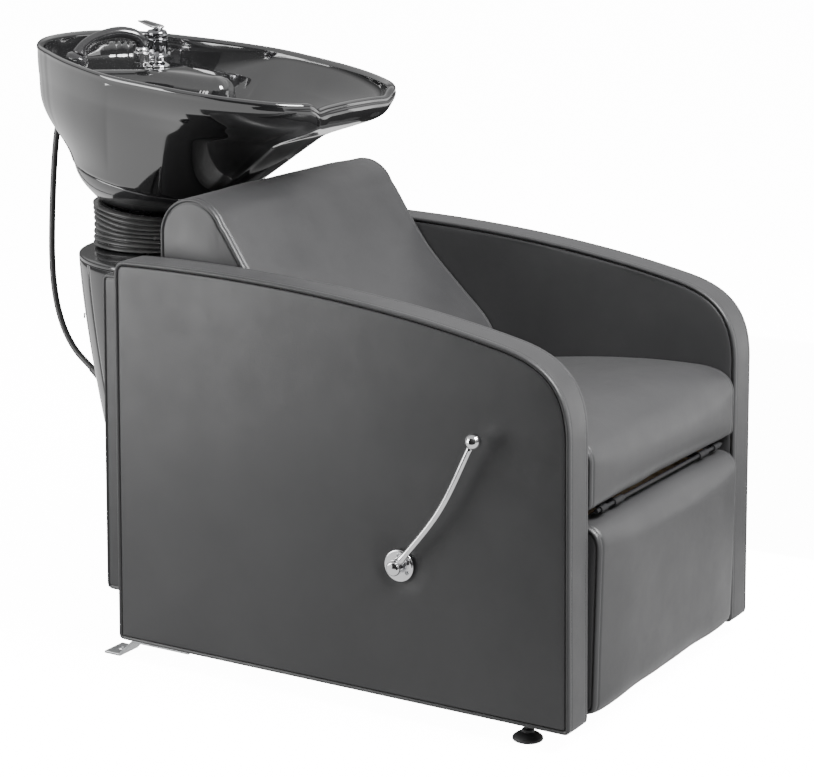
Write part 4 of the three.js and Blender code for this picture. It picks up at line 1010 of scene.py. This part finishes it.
def column_radius(z):
    """The column widens upwards, fastest near its foot."""
    height = min((z - COLUMN_LOW) / (COLUMN_TOP - COLUMN_LOW), 1)
    return COLUMN_LOW_R + (COLUMN_TOP_R - COLUMN_LOW_R) * (1 - (1 - height) ** COLUMN_FLARE)


def column_part(name, plan, top, node):
    """A piece of the column's wall: a closed plan, drawn at radius 1 with the wall's depth, up the taper."""
    rings = []
    levels = [(COLUMN_LOW, 0.8), (COLUMN_LOW + 0.8, 0.0)]
    levels += [(z, 0.0) for z in np.linspace(COLUMN_LOW + 12, top - 12, 36)]
    levels += [(top - 1.0, 0.0), (top, 1.0)]
    for z, slim in levels:
        radius = column_radius(z)
        reach = [(t, radius - slim - depth) for t, depth in plan]
        rings.append(np.array([(r * math.cos(t), COLUMN_FACE + r * math.sin(t), z) for t, r in reach]))
    make_closed(name, rings, GLOSS, "frame", [node])


def make_column():
    top = limits("column_shell")[1].z
    # the open seam and the corners' softness are in radians, and the wall in millimetres
    seam, soft, wall = 0.010, 0.004, 4.0
    right, left = COVER_ANGLE - seam, math.pi - COVER_ANGLE + seam

    def arc(start, end, depth, count):
        inset = soft if end > start else -soft
        between = [(t, depth) for t in np.linspace(start, end, count)[1:-1]]
        return [(start + inset, depth), *between, (end - inset, depth)]

    cover = arc(COVER_ANGLE, math.pi - COVER_ANGLE, 0, 60) + arc(math.pi - COVER_ANGLE, COVER_ANGLE, wall, 60)
    column_part("column_back_cover", cover, top, "column_rear_cover")
    inside = math.asin(wall / (COLUMN_LOW_R - wall))
    shell = arc(soft, right, 0, 20) + arc(right, inside, wall, 20)
    shell += arc(math.pi - inside, left, wall, 20) + arc(left, math.pi - soft, 0, 20)
    column_part("column_front_shell", shell, top, "column_shell")

    turn = np.linspace(0, math.pi, 90)
    plan = np.column_stack([COLUMN_TOP_R * np.cos(turn), COLUMN_FACE + COLUMN_TOP_R * np.sin(turn)])
    plan = resampled(plan, 5)
    normal = outward(plan)
    low = limits("column_top")[0].z
    rings = []
    for z, slim in ((low, 2), (low + 0.6, 0.7), (low + 2, 0), (COLUMN_TOP - 3, 0), (COLUMN_TOP - 1.2, 0.6),
                    (COLUMN_TOP - 0.3, 1.8), (COLUMN_TOP, 3.6), (COLUMN_TOP, 12)):
        rings.append(np.column_stack([plan - normal * slim, np.full(len(plan), z)]))
    make_closed("column_lid", rings, GLOSS, "frame", ["column_top"])


make_column()

# ---- lever ----

SCREW_CIRCLE = 16.5


def across(profile, y, z, around):
    """Rings about an axis along X from (radius, distance out past the arm) pairs, on the right side."""
    cos, sin = circle(around)
    return [np.stack([np.full(around, -(ARM_OUTER + x)), y + r * cos, z + r * sin], 1) for r, x in profile]


def make_lever():
    """The plate with its screws, the boss, and the curved rod with a ball at its end."""
    y, z = LEVER_AT
    plate = rounded([(8.4, 0.3), (24, 0.3), (24, 3.6), (22.6, 5), (9.5, 5), (8.4, 4)], 0.9)
    make_hoop("lever_escutcheon", across(plate, y, z, 72), CHROME, "frame", ["lever_plate"])
    screw = rounded([(3.2, 4.6), (3.2, 5.7), (1.9, 6.5), (1.7, 5.6), (0.4, 5.6)], 0.3)
    for k in range(3):
        angle = math.pi / 2 + k * 2 * math.pi / 3
        rings = across(screw, y + SCREW_CIRCLE * math.cos(angle), z + SCREW_CIRCLE * math.sin(angle), 24)
        make_closed(f"lever_plate_screw_{k + 1}", rings, ZINC, "frame")

    start, end = np.array([-(ARM_OUTER + 16), y, z]), np.array(middle("lever_knob"))
    half = (start + end) / 2 + np.array([0, -10, -6.5])
    path = smooth_path([start, half, end], 5)
    reach = np.linspace(0, 1, len(path))
    inside = (reach > 0.045) & (reach < 0.965)
    swell = 4.9 + 2.0 * np.exp(-((reach[inside] - 0.045) / 0.05) ** 2)
    make_closed("lever_rod", tube_rings(path[inside], swell, 28), CHROME, "lever", ["lever_bar"])
    boss = rounded([(0.5, 8), (9.5, 8), (11.4, 10), (11.4, 20), (9, 23.6), (0.5, 24)], 2.0, 6)
    make_closed("lever_boss", across(boss, y, z, 56), CHROME, "lever")
    low, high = limits("lever_knob")
    ball_r = (high.x - low.x) / 2
    along = unit(end - path[-8])
    turn = np.linspace(0.02, math.pi - 0.02, 34)
    line = [end + along * ball_r * -math.cos(t) for t in turn]
    rings = tube_rings(line, [ball_r * math.sin(t) for t in turn], 48)
    make_closed("lever_ball", rings, CHROME, "lever", ["lever_knob"])


make_lever()

# ---- feet and brackets ----


def make_foot(name):
    """A moulded pad on a stem."""
    node = f"{name}_levelling_foot"
    low, high = limits(node)
    r = (high.x - low.x) / 2
    profile = rounded([(0.5, 0), (r - 2, 0), (r, 1.5), (r, 5), (r - 5, 9.5), (12, 12), (9, 12.5), (9, 17),
                       (5, 17.6), (5, high.z), (0.5, high.z)], 1.6)
    make_closed(f"{name}_foot_pad", turned(profile, middle(node).xy, 56), MATTE, f"{name}_foot", [node])


def make_bracket(name):
    """A copy of the CAD bracket with its edges broken, which stands for it."""
    node = f"{name}_floor_bracket"
    mesh = frame["nodes"][node].data.copy()
    mesh.materials.clear()
    solid = bmesh.new()
    solid.from_mesh(mesh)
    bmesh.ops.remove_doubles(solid, verts=solid.verts, dist=2 * SAME_POINT)
    bmesh.ops.dissolve_limit(solid, angle_limit=math.radians(1), verts=solid.verts, edges=solid.edges)
    solid.to_mesh(mesh)
    solid.free()
    mesh.polygons.foreach_set("use_smooth", [False] * len(mesh.polygons))
    obj = add_piece(f"{name}_floor_strap", mesh, ZINC, "frame", [node])
    bevel = obj.modifiers.new("bevel", "BEVEL")
    bevel.width = 0.6 * MM
    bevel.segments = 2
    bevel.limit_method = "ANGLE"
    bevel.angle_limit = math.radians(40)


for side_name in ("right", "left"):
    make_foot(side_name)
    make_bracket(side_name)

# ---- tap and hand shower ----

TAP_AT = middle("tap_base").xy
HOLDER_AT = middle("shower_holder").xy
# The flutes round the tap's barrel: how many, and how deep as a share of its radius.
FLUTES, FLUTE_DEPTH = 10, 0.03
# (place along the tap's handle, half its width there, half its thickness)
HANDLE = [(-13, 4, 1.0), (-12, 7, 2.0), (-8, 10, 2.5), (2, 12.8, 2.6), (14, 12.6, 2.4), (28, 11, 2.2),
          (42, 10, 2.0), (51, 9, 1.9), (55, 6.5, 1.6), (56, 3, 0.8)]


def make_tap():
    """The stem with its flange, the fluted barrel, the arm to the holder, the dome and the flat handle."""
    deck = DECK_TOP + 0.3
    low, high = limits("tap_base")
    stem = rounded([(0.5, low.z + 3), (13, low.z + 3), (13, deck), (21, deck), (21, deck + 2.6),
                    (16, deck + 6), (12.6, deck + 8), (12.6, high.z), (0.5, high.z)], 1.5)
    make_closed("tap_stem", turned(stem, TAP_AT, 64), CHROME, "basin", ["tap_base"])

    low, high = limits("tap_body")
    body = rounded([(0.5, low.z), (19, low.z), (20, low.z + 1.2), (19, low.z + 3.4), (17, low.z + 5),
                    (17, high.z - 6), (17.6, high.z - 5), (17.6, high.z - 2), (16.8, high.z - 0.4),
                    (0.5, high.z)], 0.9)
    rings = turned(body, TAP_AT, 96)
    for ring in rings:
        flute = (ring[:, 2] > low.z + 5.5) & (ring[:, 2] < high.z - 6.5)
        turn = np.arctan2(ring[:, 1] - TAP_AT[1], ring[:, 0] - TAP_AT[0])
        cut = 1 - FLUTE_DEPTH * (0.5 + 0.5 * np.cos(FLUTES * turn))
        for k in (0, 1):
            ring[flute, k] = TAP_AT[k] + (ring[flute, k] - TAP_AT[k]) * cut[flute]
    # the barrel's darker chrome is painted shade
    make_closed("tap_barrel", rings, CHROME_PAINTED_SHADE, "basin", ["tap_body"])

    reach = np.array(HOLDER_AT) - np.array(TAP_AT)
    start = np.array([*TAP_AT, low.z + 2.4]) + np.array([*reach, 0]) * 0.2
    end = np.array([*HOLDER_AT, low.z + 2.4]) - np.array([*reach, 0]) * 0.14
    sag = (start + end) / 2 + np.array([0, 3, -3.5])
    make_closed("holder_arm", tube_rings(smooth_path([start, sag, end], 3), 4.2, 24), CHROME, "basin")

    low, high = limits("tap_cap")
    cap = rounded([(0.5, low.z), (16.9, low.z), (16.9, high.z - 5), (14.5, high.z - 1.5), (9, high.z),
                   (0.5, high.z)], 2)
    # the dome's darker chrome is painted shade
    make_closed("tap_dome", turned(cap, TAP_AT, 64), CHROME_PAINTED_SHADE, "mixer_cap", ["tap_cap"])

    # from +X, and from the level
    heading, rise = math.radians(62), 0.08
    along = np.array([math.cos(heading) * math.cos(rise), math.sin(heading) * math.cos(rise), math.sin(rise)])
    side = np.array([-math.sin(heading), math.cos(heading), 0])
    up = np.cross(along, side)
    base = np.array([*TAP_AT, high.z + 0.3 + 13 * math.sin(rise) + 2.6])
    c, s = circle(40)
    oval_c, oval_s = np.sign(c) * np.abs(c) ** 0.7, np.sign(s) * np.abs(s) ** 0.8
    dish = 1.4 * (np.abs(oval_c) ** 2) - 0.7
    rings = [
        base + along * at + np.outer(oval_c * wide, side) + np.outer(oval_s * thick + dish, up)
        for at, wide, thick in HANDLE
    ]
    make_closed("tap_handle", rings, CHROME, "mixer_lever", ["tap_lever"])


def make_hand_shower():
    """The holder's sleeve, and the hand shower in it: a ferrule, a bent grip and a rose that faces down."""
    x, y = HOLDER_AT
    deck, top = (corner.z for corner in limits("shower_holder"))
    foot = deck + 12
    sleeve = rounded([(8.7, foot), (11.4, foot), (12.6, foot + 1.6), (12.6, top - 4), (13.6, top - 3),
                      (13.6, top - 1), (12.6, top), (8.7, top)], 0.9)
    make_hoop("holder_sleeve", turned(sleeve, HOLDER_AT, 56), CHROME, "basin", ["shower_holder"])

    spigot = rounded([(0.5, deck + 6), (8, deck + 6), (8, top + 0.3), (10.5, top + 0.3), (10.5, top + 4),
                      (9, top + 7), (0.5, top + 7)], 0.8)
    make_closed("handset_ferrule", turned(spigot, HOLDER_AT, 48), CHROME, "handset")

    head = np.array([x - 79, y + 67, 898.0])
    aim = unit([-0.35, 0.3, -0.89])
    route = [(x, y, 914), (x - 1, y + 1, 924), (x - 8, y + 6, 933), (x - 26, y + 21, 939),
             (x - 50, y + 41, 934), (x - 65, y + 54, 925), tuple(head - aim * 18), tuple(head - aim * 8.3)]
    path = smooth_path(route, 3)
    reach = np.linspace(0, 1, len(path))
    radii = np.interp(reach, [0, 0.06, 0.2, 0.5, 0.8, 0.93, 1], [8.4, 9.4, 9.8, 9.0, 8.6, 10.5, 13])
    make_closed("handset_grip", tube_rings(path, radii, 36), GLOSS, "handset", ["handset_body"])

    profile = rounded([(0.5, -8), (13, -8), (18.6, -3), (19, 2), (18.4, 8.4), (17, 10), (15.4, 9.4),
                       (0.5, 9.2)], 1.6)
    tilt = unit(np.cross(aim, (0.0, 0.0, 1.0)))
    rings = [swept(head + aim * d, r, tilt, np.cross(aim, tilt), 56) for r, d in profile]
    make_closed("handset_rose", rings, GLOSS, "handset", ["handset_head"])


make_tap()
make_hand_shower()

# ---- floor, light and world ----

# Lights, cards and the floor are placed in the row frame, in metres.
FLOOR_GLOW, FLOOR_REACH = 14.0, 30
# (height from straight down at 0 to straight up at 1, brightness)
SURROUND = [(0.0, 0.98), (0.47, 0.98), (0.495, 0.10), (0.61, 0.16), (0.70, 0.78), (1.0, 0.62)]
SURROUND_STRENGTH = 1.0


def make_sheet(name, corners, material, *hidden):
    """A flat piece of the studio, which the hidden kinds of ray don't see."""
    mesh = bpy.data.meshes.new(name)
    mesh.from_pydata(corners, [], [(0, 1, 2, 3)])
    mesh.materials.append(material)
    sheet = add_object(name, mesh)
    for rays in hidden:
        setattr(sheet, f"visible_{rays}", False)


def make_floor():
    """A pale floor with a glow of its own, so that it stays near white under the soft light."""
    corners = [(x * FLOOR_REACH, y * FLOOR_REACH, 0) for x, y in ((-1, -1), (1, -1), (1, 1), (-1, 1))]
    pale = surface("studio_floor", ((2, 2), 0.90, 0.93), Roughness=0.9, Emission_Strength=FLOOR_GLOW,
                   Emission_Color=(1, 1, 1, 1))
    make_sheet("floor", corners, pale, "diffuse", "glossy")


def make_flags():
    """Black cards that the camera doesn't see, which darken the reflections on the left and far sides."""
    left = [(-1.05, y, z) for y, z in ((-1.5, 0.01), (0.12, 0.01), (0.12, 1.3), (-1.5, 1.3))]
    far = [(x, y, 0.02) for x, y in ((0.75, -1.2), (2.4, -1.2), (2.4, 0.9), (0.75, 0.9))]
    for name, corners in (("left_flag", left), ("far_flag", far)):
        make_sheet(name, corners, surface(name, ((5, 2), 0.003, 0.005), Roughness=0.9), "camera")


def area_light(name, at, towards, size, power, shines=True):
    """A rectangular light, with its size in metres and its power in watts. shines is whether it reflects."""
    data = bpy.data.lights.new(name, "AREA")
    data.shape = "RECTANGLE"
    data.size, data.size_y = size
    data.energy = power
    light = add_object(name, data)
    light.visible_glossy = shines
    light.location = at
    light.rotation_mode = "QUATERNION"
    light.rotation_quaternion = (Vector(towards) - Vector(at)).to_track_quat("-Z", "Y")


def make_world():
    """A studio's surround: pale below the horizon, a dark band above it, and pale walls and ceiling."""
    world = bpy.data.worlds.new("studio")
    world.use_nodes = True
    nodes, links = world.node_tree.nodes, world.node_tree.links
    direction = nodes.new("ShaderNodeTexCoord").outputs["Generated"]
    split = nodes.new("ShaderNodeSeparateXYZ")
    links.new(direction, split.inputs["Vector"])
    height = nodes.new("ShaderNodeMapRange")
    height.inputs["From Min"].default_value = -1
    links.new(split.outputs["Z"], height.inputs["Value"])
    ramp = nodes.new("ShaderNodeValToRGB")
    set_stops(ramp, SURROUND)
    links.new(height.outputs["Result"], ramp.inputs["Fac"])
    links.new(ramp.outputs["Color"], nodes["Background"].inputs["Color"])
    nodes["Background"].inputs["Strength"].default_value = SURROUND_STRENGTH
    bpy.context.scene.world = world


def make_lights():
    area_light("top_softbox", (-0.2, 0.1, 3.6), (0, 0, 0.4), (4.0, 4.0), 125, shines=False)
    area_light("left_card", (-1.35, 1.15, 0.75), (-0.2, 0.4, 0.55), (1.1, 1.3), 30)
    area_light("right_card", (1.4, -1.6, 0.62), (0.1, -0.5, 0.45), (1.4, 1.1), 8)
    area_light("front_softbox", (-0.3, -2.1, 2.6), (0, -0.2, 0.4), (1.6, 1.2), 250)


make_flags()
make_floor()
make_world()
make_lights()
